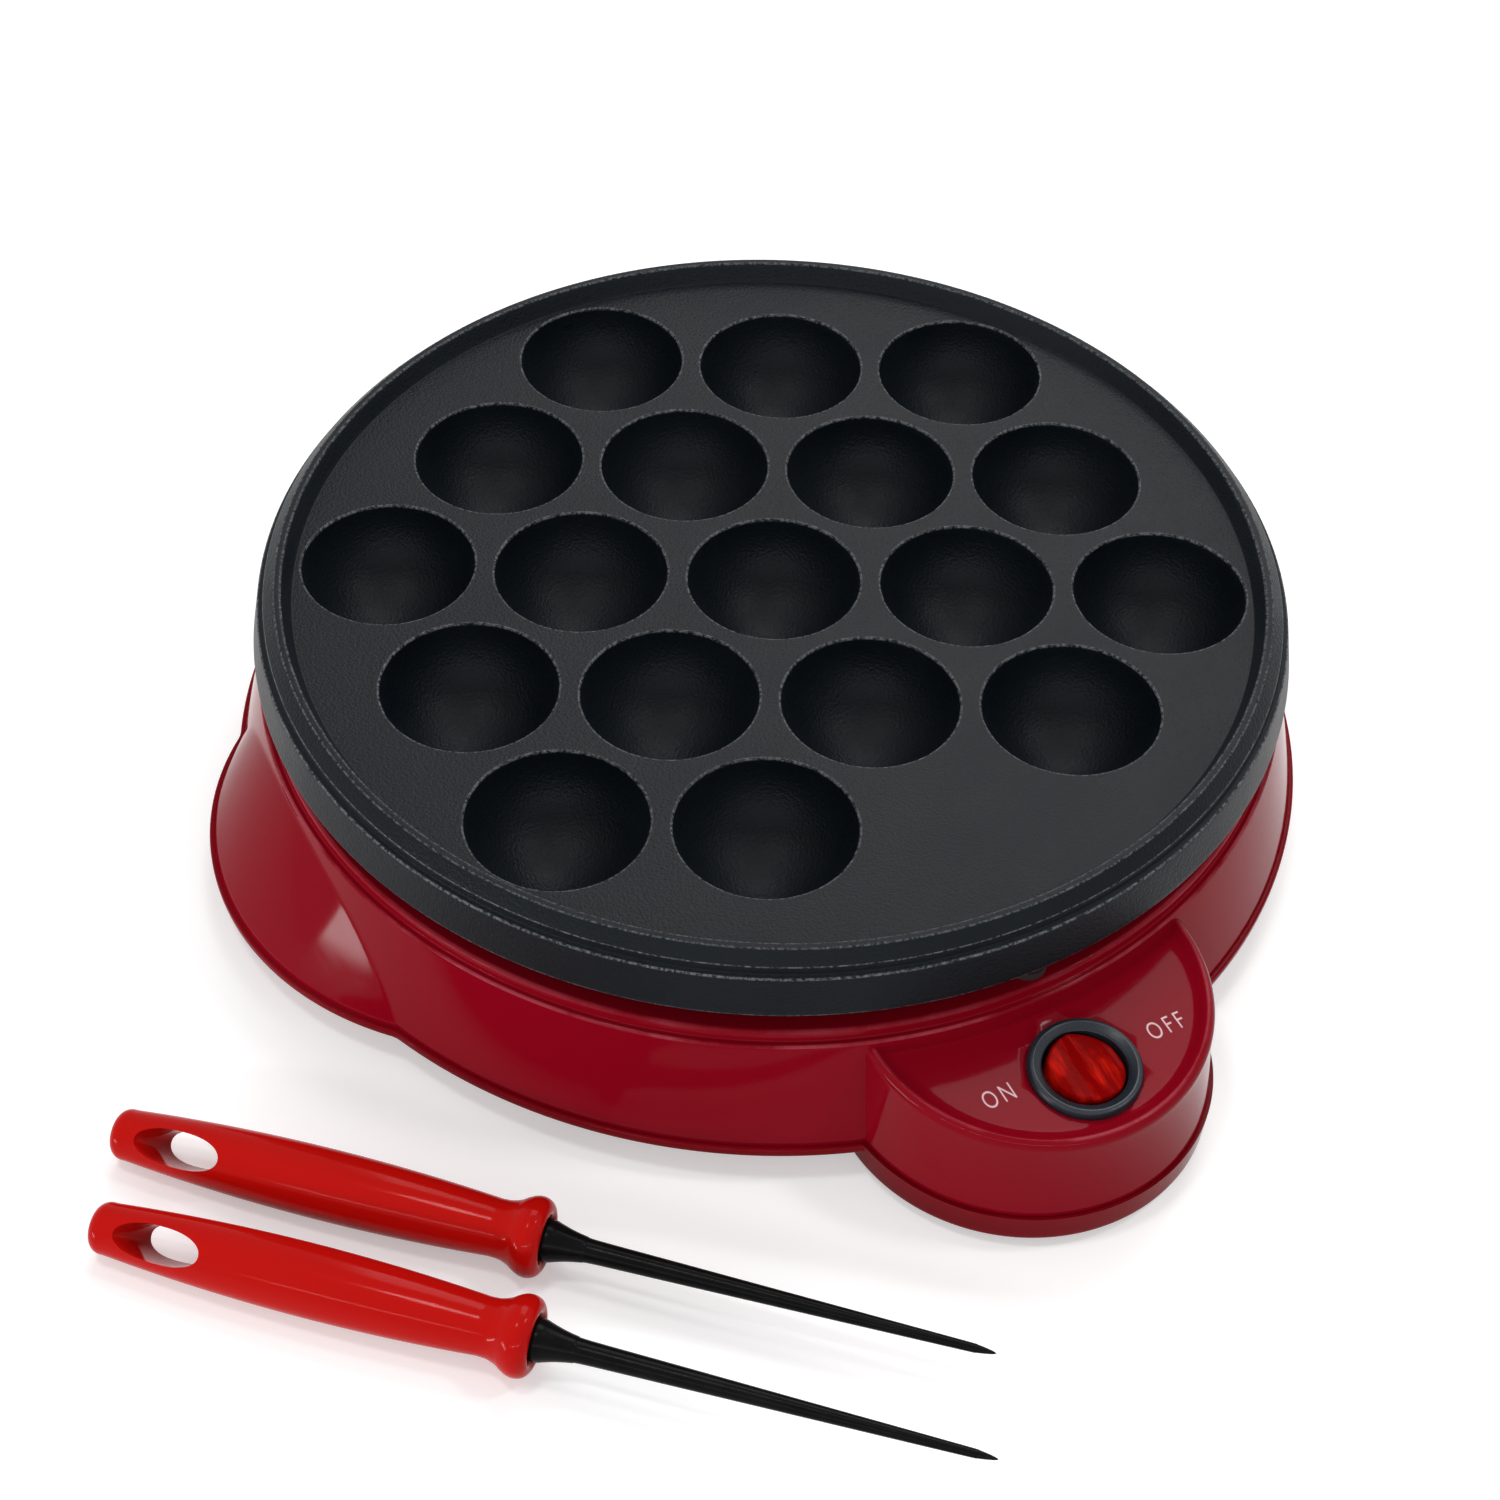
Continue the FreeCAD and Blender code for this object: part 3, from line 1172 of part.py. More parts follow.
def make_pick(number):
    """One pick: the moulded handle with its hanging hole and collar, and the steel spike set into it."""
    handle = new_body(f"pick_{number + 1}_handle")
    collar_start = handle_length - collar_width
    belly_rise = belly_radius - handle_back_radius
    belly_run = belly_place - handle_back_round
    back_arc = (belly_run * belly_run + belly_rise * belly_rise) / (belly_rise * 2)
    neck_drop = belly_radius - neck_radius
    neck_run = neck_place - belly_place
    front_arc = (neck_run * neck_run + neck_drop * neck_drop) / (neck_drop * 2)
    turned_along(handle, "grip", [
        (0.0, 0.0),
        (handle_length, 0.0),
        (handle_length, spike_base_radius + 2.0),
        (handle_length - 0.6, collar_radius - 1.2),
        (collar_start + 0.6, collar_radius - 1.2, 2.9),
        (neck_place, neck_radius, -8.0),
        (belly_place, belly_radius, front_arc),
        (handle_back_round, handle_back_radius, back_arc),
        (0.0, handle_back_radius - handle_back_round, handle_back_round),
    ])
    top = slot_outline(handle, "slot_top", slot_start, slot_end, slot_width, belly_radius)
    bottom = slot_outline(handle, "slot_bottom", slot_start + slot_slant, slot_end, slot_width - 0.4,
                          -belly_radius)
    slot = handle.newObject("PartDesign::SubtractiveLoft", "hanging_hole")
    slot.Profile = top
    slot.Sections = [bottom]
    slot.Ruled = True
    tang_start = handle_length - tang_length
    turned_along(handle, "tang_hole", [
        (tang_start - 0.5, 0.0),
        (handle_length + 1, 0.0),
        (handle_length + 1, tang_radius + clearance),
        (tang_start - 0.5, tang_radius + clearance),
    ], cut=True)
    spike = new_body(f"pick_{number + 1}_spike")
    tip = handle_length + spike_length
    turned_along(spike, "spike", [
        (tang_start, 0.0),
        (tip, 0.0),
        (tip, spike_tip_radius),
        (tip - spike_point, spike_end_radius),
        (handle_length + spike_neck_place, spike_neck_radius),
        (handle_length + 1.2, spike_base_radius, -26.0),
        (handle_length, spike_base_radius),
        (handle_length, tang_radius),
        (tang_start, tang_radius),
    ])
    for body in (handle, spike):
        lay_pick(body, number)


def make_all():
    """Builds every sub-part, from the housing outwards."""
    make_upper_housing()
    make_bottom_tray()
    make_rubber_feet()
    make_screws("housing_screws", 0.6, housing_screw_length,
                [(boss_circle * cosine(boss_angle), boss_circle * sine(boss_angle), boss_count)])
    make_cord_gland()
    make_cooking_plate()
    make_plate_spacers()
    make_screws("plate_screws", ring_underside - pan_sheet - screw_head_height,
                plate_boss_low - ring_underside + 9, [(plate_boss_circle, 0.0, boss_count)])
    make_reflector_pan()
    make_heating_element()
    make_element_insulators()
    make_blades("element_pins", [(-leg_x, leg_y), (leg_x, leg_y)], heater_leg_low)
    make_element_clips()
    make_screws("clip_screws", clip_stud_low - strap_sheet - screw_head_height, 9.0,
                [(clip_stud_circle, 0.0, 3)], head_radius=screw_head_radius - 0.4)
    make_thermostat()
    make_blades("thermostat_tabs", [(-4.0, 0.0), (4.0, 0.0)], cavity_low - thermostat_height)
    make_thermostat_bracket()
    make_screws("bracket_screws", bracket_stud_low - strap_sheet - screw_head_height, 9.0,
                [(bracket_stud_circle, 0.0, 2)], head_radius=screw_head_radius - 0.4)
    make_thermal_fuse()
    make_screws("clamp_screw", pan_floor - clamp_sheet - screw_head_height, 3.4, [(clamp_screw_x, 0.0, 1)],
                head_radius=screw_head_radius - 0.6)
    make_terminal_block()
    make_screws("earth_screw", pan_floor - screw_head_height - 0.1, 3.2,
                [(-earth_radius, earth_radius * 0.5, 1)])
    make_leads()
    make_switch_housing()
    tabs = [(-tab_pitch, -switch_y), (0.0, -switch_y), (tab_pitch, -switch_y)]
    lean(make_blades("switch_tabs", tabs, switch_low, width=blade_width * 0.8))
    make_switch_rocker()
    make_switch_plunger()
    make_contact_lever()
    make_switch_lamp()
    for number in range(2):
        make_pick(number)


def check_model():
    """Stops the build if a feature failed, a cut removed nothing or a sub-part has no valid solid."""
    for item in DOCUMENT.Objects:
        if "Invalid" in item.State or "Error" in item.State:
            raise ValueError(f"{item.Label} failed: {item.State}")
    for body in SUB_PARTS:
        if body.Shape.isNull() or not body.Shape.isValid() or not body.Shape.Solids:
            raise ValueError(f"{body.Label} has no valid solid")
        for feature in getattr(body, "Group", []):
            cuts = "Subtractive" in feature.TypeId or "Groove" in feature.TypeId
            if cuts and feature.Shape.Volume >= feature.BaseFeature.Shape.Volume - 0.01:
                raise ValueError(f"{body.Label}: {feature.Label} cuts nothing")


def write_parts():
    """Writes one STEP file for each sub-part."""
    os.makedirs("parts", exist_ok=True)
    for body in SUB_PARTS:
        body.Shape.exportStep(f"parts/{body.Label}.step")
        print(f"{body.Label}: {len(body.Shape.Solids)} solids, {body.Shape.Volume:.1f} mm3")


make_all()
DOCUMENT.recompute()
check_model()
write_parts()
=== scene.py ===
"""Looks of a round tabletop dumpling cooker and its two turning picks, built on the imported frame."""

import sys
import logging
import math
from collections.abc import Callable, Sequence
from dataclasses import dataclass, field
from enum import Enum

import bmesh
import bpy
import numpy as np
from mathutils import Matrix, Vector
from mathutils.geometry import delaunay_2d_cdt


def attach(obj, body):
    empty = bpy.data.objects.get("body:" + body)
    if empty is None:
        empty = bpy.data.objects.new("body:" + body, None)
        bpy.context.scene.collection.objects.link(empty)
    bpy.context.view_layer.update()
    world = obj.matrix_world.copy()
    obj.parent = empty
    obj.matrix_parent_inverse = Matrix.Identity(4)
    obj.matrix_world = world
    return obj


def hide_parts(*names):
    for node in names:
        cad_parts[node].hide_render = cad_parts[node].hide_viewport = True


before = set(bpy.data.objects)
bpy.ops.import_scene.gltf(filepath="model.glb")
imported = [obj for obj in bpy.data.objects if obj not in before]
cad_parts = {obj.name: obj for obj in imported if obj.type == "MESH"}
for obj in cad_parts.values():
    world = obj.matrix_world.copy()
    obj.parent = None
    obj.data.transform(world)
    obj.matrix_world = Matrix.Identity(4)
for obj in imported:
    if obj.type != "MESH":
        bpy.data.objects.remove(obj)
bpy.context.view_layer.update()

LOG = logging.getLogger("cooker")
MM = 0.001
EDGE = "edge"
FULL = 2 * math.pi
DIAGONALS = (45, 135, 225, 315)
Array = np.ndarray
Colour = tuple[float, float, float]
Profile = Sequence[tuple[float, float, float]]
Socket = bpy.types.NodeSocket
Value = Socket | float
Marks = tuple[Socket, Socket, Socket]


class Body(Enum):
    """The frame's moving bodies."""

    BASE = "base"
    ROCKER = "rocker"
    CONTACT = "contact"
    PICK_1 = "pick_1"
    PICK_2 = "pick_2"


class Texture(Enum):
    """The family of small marks that a finish shows."""

    MOULDED = "Moulded Gloss"
    CAST = "Cast Coating"
    METAL = "Worked Metal"
    BRAID = "Braided Sleeve"
    MATT = "Pressed Matt"
    LENS = "Tinted Lens"


# ---- Shapes ----
def rounded(corners: Profile, steps: int = 5) -> Array:
    """A line in a plane whose corners are turned into arcs.

    At a corner where the edges meet at the angle a, an arc of radius q touches both edges at q / tan(a / 2)
    from the corner, and its points are spread evenly over the angle between its two ends.

    Args:
        corners: Each corner's two coordinates and its radius; 0 keeps it sharp.
        steps: Spans of each arc.

    Returns:
        The line's points, one row each.
    """
    spots = np.array([corner[:2] for corner in corners], dtype=float)
    runs = [spots[:1]]
    for before, corner, after, (_, _, radius) in zip(spots, spots[1:], spots[2:], corners[1:]):
        if radius == 0:
            runs.append(corner[None])
            continue
        back = (before - corner) / np.linalg.norm(before - corner)
        ahead = (after - corner) / np.linalg.norm(after - corner)
        half = math.acos(float(np.clip(back @ ahead, -1, 1))) / 2
        middle = back + ahead
        centre = corner + middle / np.linalg.norm(middle) * radius / math.sin(half)
        first = corner + back * radius / math.tan(half) - centre
        last = corner + ahead * radius / math.tan(half) - centre
        turn = math.pi - 2 * half
        share = np.linspace(0, 1, steps + 1)[:, None]
        arc = (np.sin((1 - share) * turn) * first + np.sin(share * turn) * last) / math.sin(turn)
        runs.append(centre + arc)
    runs.append(spots[-1:])
    return np.concatenate(runs)


def closer(line: Array, step: float) -> Array:
    """The same line with even points added wherever two of its points lie more than a step apart.

    Args:
        line: Rows of two coordinates.
        step: The longest span that is left whole.

    Returns:
        The line's points, one row each.
    """
    spans = np.ceil(np.linalg.norm(np.diff(line, axis=0), axis=1) / step).astype(int)
    runs = [np.linspace(*ends, max(1, count), endpoint=False) for *ends, count in zip(line, line[1:], spans)]
    return np.concatenate([*runs, line[-1:]])


def spline(points: Sequence[tuple[float, float]], steps: int = 6) -> Array:
    """A smooth line through points: each span is the cubic whose slopes are half its neighbours' difference.

    Args:
        points: The places that the line goes through.
        steps: Spans between two of them.

    Returns:
        The line's points, one row each.
    """
    knots = np.array(points, dtype=float)
    padded = np.concatenate([2 * knots[:1] - knots[1:2], knots, 2 * knots[-1:] - knots[-2:-1]])
    share = np.linspace(0, 1, steps, endpoint=False)[None, :, None]
    before, start, end, after = (padded[i:len(knots) - 1 + i, None] for i in range(4))
    line = 0.5 * (
        2 * start
        + (end - before) * share
        + (2 * before - 5 * start + 4 * end - after) * share**2
        + (3 * start - before - 3 * end + after) * share**3
    )
    return np.concatenate([line.reshape(-1, 2), knots[-1:]])


def revolve(profile: Array, columns: int, x: float = 0.0, y: float = 0.0) -> Array:
    """A profile of radius and height carried round an upright axis: radius times cosine and sine."""
    angle = np.linspace(0, FULL, columns, endpoint=False)
    return upright(profile[:, :1], angle, profile[:, 1:]) + (x, y, 0.0)


def places(x: Array, y: Array, z: Array) -> Array:
    """Points from their coordinates, each spread to the shape that all three have together."""
    return np.stack(np.broadcast_arrays(x, y, z), axis=-1)


def upright(radius: Array, angle: Array, height: Array) -> Array:
    """Points from their distance and bearing from the plate's axis, and their height."""
    return places(radius * np.cos(angle), radius * np.sin(angle), height)


def circle(radius: float, count: int, x: float = 0.0, y: float = 0.0) -> Array:
    """A level circle's points, as rows of x and y."""
    return revolve(np.array([[radius, 0.0]]), count, x, y)[0, :, :2]


def around(reach: float, bearings: Sequence[float]) -> Array:
    """Places at a distance from the plate's axis, one for each bearing in degrees, as rows of x and y."""
    return upright(reach, np.radians(bearings), 0.0)[:, :2]


def crossing(radius: Array, away: Array, other: Array) -> Array:
    """Half the angle, at a circle's centre, between its meetings with another circle: the cosine rule."""
    cosine = (radius**2 + away**2 - other**2) / (2 * radius * away)
    return np.arccos(np.clip(cosine, -1, 1))


def soft_max(first: Array, second: Array, width: float) -> Array:
    """The larger of two, plus the square of what their difference lacks of the width, over four widths."""
    gap = np.maximum(width - np.abs(first - second), 0)
    return np.maximum(first, second) + gap**2 / (4 * width)


def ease(count: int, pull: float = 0.6) -> Array:
    """Shares from 0 to 1 that crowd towards both ends, a mix of even steps and a half turn's cosine."""
    even = np.linspace(0, 1, count)
    return (1 - pull) * even + pull * (1 - np.cos(math.pi * even)) / 2


def eased(knots: Sequence[Array], counts: Sequence[int]) -> Array:
    """Columns between knots, crowded towards both ends of each span, without the last knot."""
    spans = [start + (end - start) * ease(count)[:-1] for start, end, count in zip(knots, knots[1:], counts)]
    return np.concatenate(spans, axis=1)


def place(points: Array, matrix: Matrix) -> Array:
    """Points after a move and turn given by a matrix in millimetres."""
    turn = np.array(matrix.to_3x3())
    return points @ turn.T + np.array(matrix.translation)


def backward(height: float) -> Matrix:
    """The turn of an upright axis to one that runs to the back at a height."""
    return Matrix.Translation((0, 0, height)) @ Matrix.Rotation(math.radians(-90), 4, "X")


def within(points: Array, loop: Array) -> Array:
    """Whether each point lies inside an outline: a ray along x crosses its edges an odd number of times.

    Args:
        points: Rows of x and y.
        loop: The outline's corners, as rows of x and y.

    Returns:
        One truth value for each point.
    """
    x, y = points[:, :1], points[:, 1:]
    first, last = loop[None], np.roll(loop, -1, axis=0)[None]
    spans = (first[..., 1] > y) != (last[..., 1] > y)
    rise = np.where(spans, last[..., 1] - first[..., 1], 1.0)
    meet = first[..., 0] + (y - first[..., 1]) * (last[..., 0] - first[..., 0]) / rise
    return (np.sum(spans & (x < meet), axis=1) % 2).astype(bool)


@dataclass
class Skin:
    """Grids and faces gathered into one mesh, in millimetres."""

    points: list[Array] = field(default_factory=list)
    faces: list[tuple[int, ...]] = field(default_factory=list)
    count: int = 0

    def add(self, points: Array, faces: Array) -> None:
        """Adds points with their faces.

        Args:
            points: Any array of places.
            faces: Rows of numbers that count from the first of these points.
        """
        self.points.append(points.reshape(-1, 3))
        self.faces.extend(map(tuple, (faces + self.count).tolist()))
        self.count += len(self.points[-1])

    def grid(self, points: Array, wrap: bool = True, keep: Array | None = None) -> None:
        """Adds a grid of points as quads.

        Args:
            points: Rows by columns by 3.
            wrap: Whether the last column joins the first.
            keep: For each quad, whether it is wanted; None keeps all.
        """
        rows, columns = points.shape[:2]
        index = np.arange(rows * columns).reshape(rows, columns)
        if wrap:
            index = np.concatenate([index, index[:, :1]], axis=1)
        quads = np.stack([index[:-1, :-1], index[:-1, 1:], index[1:, 1:], index[1:, :-1]], axis=-1)
        self.add(points, quads[keep] if keep is not None else quads.reshape(-1, 4))

    def flat(self, loops: Sequence[Array], height: float, matrix: Matrix | None = None) -> None:
        """Adds a flat face with holes, as triangles between its outlines and a lattice of points inside.

        Every second row of the lattice is shifted by half a step, and points nearer than a third of a step
        to an outline are left out.

        Args:
            loops: The outer outline and those of the holes, each as rows of x and y.
            height: The face's z.
            matrix: The move and turn that it gets; None leaves it level.
        """
        sizes = np.cumsum([0] + [len(loop) for loop in loops])
        edges = [
            pair
            for start, end in zip(sizes[:-1], sizes[1:])
            for pair in zip(range(start, end), [*range(start + 1, end), start])
        ]
        spots = np.concatenate([*loops, self.lattice(loops)])
        found, _, triangles, *_ = delaunay_2d_cdt(list(map(Vector, spots.tolist())), edges, [], 1, 1e-5)
        level = np.array([(*spot, height) for spot in found])
        triangles = np.array(triangles)
        middle = level[triangles, :2].mean(axis=1)
        keep = np.all([within(middle, loop) == (loop is loops[0]) for loop in loops], axis=0)
        self.add(level if matrix is None else place(level, matrix), triangles[keep])

    @staticmethod
    def lattice(loops: Sequence[Array], step: float = 5.0) -> Array:
        """The points of a level lattice that lie on a face and clear of its outlines.

        Args:
            loops: The outer outline and those of the holes.
            step: The way from one point to the next in a row.

        Returns:
            Rows of x and y.
        """
        low, high = loops[0].min(axis=0), loops[0].max(axis=0)
        x, y = np.meshgrid(np.arange(low[0], high[0], step), np.arange(low[1], high[1], step * 0.866))
        x = x + (np.arange(len(x)) % 2)[:, None] * step / 2
        spots = np.stack([x.ravel(), y.ravel()], axis=1)
        spots = spots[within(spots, loops[0])]
        for loop in loops:
            away = np.hypot(spots[:, :1] - loop[:, 0], spots[:, 1:] - loop[:, 1]).min(axis=1)
            spots = spots[(away > step / 3) & (within(spots, loop) == (loop is loops[0]))]
        return spots

    def mesh(self, name: str, sharp: float = 35.0, inside: Vector | None = None) -> bpy.types.Object:
        """Makes the object: doubles merged, faces outwards, smooth up to an angle.

        Args:
            name: The piece's name.
            sharp: The angle in degrees from which an edge stays sharp.
            inside: For an open skin, a point behind its faces.

        Returns:
            The new object, at the origin.
        """
        data = bpy.data.meshes.new(name)
        data.from_pydata((np.concatenate(self.points) * MM).tolist(), [], self.faces)
        work = bmesh.new()
        work.from_mesh(data)
        bmesh.ops.remove_doubles(work, verts=work.verts, dist=4e-6)
        bmesh.ops.dissolve_degenerate(work, edges=work.edges, dist=1e-7)
        bmesh.ops.recalc_face_normals(work, faces=work.faces)
        if inside is not None:
            away = ((face.calc_center_median() - inside, face) for face in work.faces)
            if sum(face.normal.dot(way) * face.calc_area() for way, face in away) < 0:
                bmesh.ops.reverse_faces(work, faces=work.faces)
        work.to_mesh(data)
        work.free()
        smooth(data, sharp)
        mark_edges(data)
        return link(name, data)


def mark_edges(data: bpy.types.Mesh, low: float = 300.0, high: float = 900.0) -> None:
    """Stores how sharply a mesh bends outwards at each vertex, as an attribute that the materials read.

    With n a vertex's normal and d the way to a neighbour, the bend along d is minus twice n times d over
    d squared, which on a round edge is one over its radius. A vertex's bend is the mean over its neighbours.

    Args:
        data: The mesh.
        low: The bend, per metre, up to which the attribute is 0.
        high: The bend from which it is 1.
    """
    count = len(data.vertices)
    points, normals = np.empty(count * 3), np.empty(count * 3)
    ends = np.empty(len(data.edges) * 2, dtype=np.int32)
    data.vertices.foreach_get("co", points)
    data.vertex_normals.foreach_get("vector", normals)
    data.edges.foreach_get("vertices", ends)
    points, normals, ends = points.reshape(-1, 3), normals.reshape(-1, 3), ends.reshape(-1, 2)
    start, end = np.concatenate([ends, ends[:, ::-1]]).T
    way = points[end] - points[start]
    bend = -2 * np.sum(way * normals[start], axis=1) / np.sum(way**2, axis=1)
    mean = np.bincount(start, bend, count) / np.maximum(np.bincount(start, minlength=count), 1)
    marks = data.attributes.new(EDGE, "FLOAT", "POINT")
    marks.data.foreach_set("value", np.clip((mean - low) / (high - low), 0, 1).astype(np.float32))


# ---- Node trees ----
@dataclass
class Tree:
    """A node tree with short calls for adding and linking nodes."""

    tree: bpy.types.NodeTree

    def add(self, kind: str, inputs: dict | None = None, **settings: object) -> bpy.types.Node:
        """Adds a node.

        Args:
            kind: The node's type, without its first word.
            inputs: Values or sockets for its inputs, by name or number.
            **settings: Properties of the node.

        Returns:
            The node.
        """
        node = self.tree.nodes.new(f"ShaderNode{kind}")
        for key, value in settings.items():
            setattr(node, key, value)
        for key, value in (inputs or {}).items():
            if isinstance(value, Socket):
                self.tree.links.new(value, node.inputs[key])
            else:
                node.inputs[key].default_value = value
        return node

    def math(self, operation: str, first: Value, second: Value = 0.0) -> Socket:
        """A Math node's result."""
        return self.add("Math", {0: first, 1: second}, operation=operation).outputs[0]

    def mix(self, factor: Value, first: Socket | tuple, second: Socket | tuple) -> Socket:
        """The mix of two colours."""
        return self.add("Mix", {0: factor, 6: first, 7: second}, data_type="RGBA").outputs[2]

    def span(self, value: Socket, low: float, high: float, start: float, end: float) -> Socket:
        """A value moved from one range to another and kept inside it."""
        inputs = {"Value": value, "From Min": low, "From Max": high, "To Min": start, "To Max": end}
        return self.add("MapRange", inputs).outputs["Result"]

    def noise(self, where: Socket, scale: Value, detail: float = 3.0, rough: float = 0.5) -> Socket:
        """A noise's value."""
        inputs = {"Vector": where, "Scale": scale, "Detail": detail, "Roughness": rough}
        return self.add("TexNoise", inputs).outputs[0]

    def cells(self, where: Socket, scale: Value, soft: float) -> Socket:
        """The distance to the nearest of scattered points, rounded off between them."""
        inputs = {"Vector": where, "Scale": scale, "Smoothness": soft}
        return self.add("TexVoronoi", inputs, feature="SMOOTH_F1").outputs["Distance"]


@dataclass
class Surface(Tree):
    """The tree of one texture, with the place on the object and the finish's own scale, per metre."""

    where: Socket
    scale: Socket

    def stretched(self, scale: tuple[float, float, float]) -> Socket:
        """The place, drawn out along the axes."""
        return self.add("Mapping", {"Vector": self.where, "Scale": scale}).outputs[0]

    def moulded(self) -> Marks:
        """Polished moulding: a slow ripple, drifting shade, and fine wiping marks in the gloss.

        Returns:
            The tint, the change of roughness and the height.
        """
        wipe = self.noise(self.stretched((900.0, 60.0, 300.0)), 1.0, 4.0, 0.7)
        dust = self.span(self.noise(self.where, 2600.0, 1.0), 0.7, 0.78, 0.0, 0.5)
        gloss = self.math("ADD", self.span(wipe, 0.35, 0.75, 0.75, 1.45), dust)
        return self.noise(self.where, 14.0, 2.0), gloss, self.noise(self.where, self.scale, 2.0, 0.4)

    def cast(self) -> Marks:
        """Non-stick coating on a casting: small pebbles under a finer grain, with slow mottling.

        Returns:
            The tint, the change of roughness and the height.
        """
        pebble = self.cells(self.where, self.scale, 0.6)
        grain = self.noise(self.where, self.math("MULTIPLY", self.scale, 2.3), 3.0, 0.6)
        mottle = self.noise(self.where, 35.0, 5.0, 0.6)
        height = self.math("ADD", self.math("MULTIPLY", pebble, -0.8), self.math("MULTIPLY", grain, 0.6))
        fine = self.span(grain, 0.3, 0.7, 0.4, 1.0)
        tint = self.math("MULTIPLY", self.span(mottle, 0.35, 0.7, 0.0, 1.0), fine)
        return tint, self.span(mottle, 0.3, 0.7, 0.88, 1.15), height

    def metal(self) -> Marks:
        """Bare or plated metal: drawn streaks and cloudy stains.

        Returns:
            The tint, the change of roughness and the height.
        """
        streak = self.noise(self.stretched((1.0, 14.0, 1.0)), self.scale, 4.0, 0.7)
        cloud = self.noise(self.where, 60.0, 4.0, 0.6)
        return self.span(cloud, 0.4, 0.75, 0.0, 1.0), self.span(streak, 0.3, 0.7, 0.75, 1.35), streak

    def braid(self) -> Marks:
        """Woven sleeve: two bands of slanting strands, one over the other.

        Returns:
            The tint, the change of roughness and the height.
        """
        inputs = {"Vector": self.where, "Scale": self.scale, "Distortion": 0.4}
        turned = {**inputs, "Vector": self.stretched((-1.0, 1.0, 1.0))}
        over, under = (self.add("TexWave", band, bands_direction="DIAGONAL") for band in (inputs, turned))
        height = self.math("MAXIMUM", over.outputs["Fac"], under.outputs["Fac"])
        return self.math("SUBTRACT", 1.0, height), self.span(height, 0.0, 1.0, 1.2, 0.9), height

    def matt(self) -> Marks:
        """Matt moulding, rubber or ceramic: an even fine grain and faint marks of handling.

        Returns:
            The tint, the change of roughness and the height.
        """
        grain = self.noise(self.where, self.scale, 4.0, 0.65)
        marks = self.noise(self.where, 90.0, 5.0, 0.7)
        return self.span(marks, 0.4, 0.8, 0.0, 1.0), self.span(grain, 0.3, 0.7, 0.85, 1.15), grain

    def lens(self) -> Marks:
        """See-through moulding: painted streaks of light that run along one way, and a slow ripple.

        Returns:
            The tint of the painted light, the change of roughness and the height.
        """
        streak = self.noise(self.stretched((480.0, 70.0, 200.0)), 1.0, 3.0, 0.6)
        broad = self.span(self.noise(self.where, 130.0, 2.0), 0.4, 0.62, 0.1, 1.0)
        tint = self.math("MULTIPLY", self.span(streak, 0.45, 0.68, 0.0, 1.0), broad)
        return tint, self.span(streak, 0.3, 0.7, 0.8, 1.2), self.noise(self.where, self.scale, 2.0, 0.4)


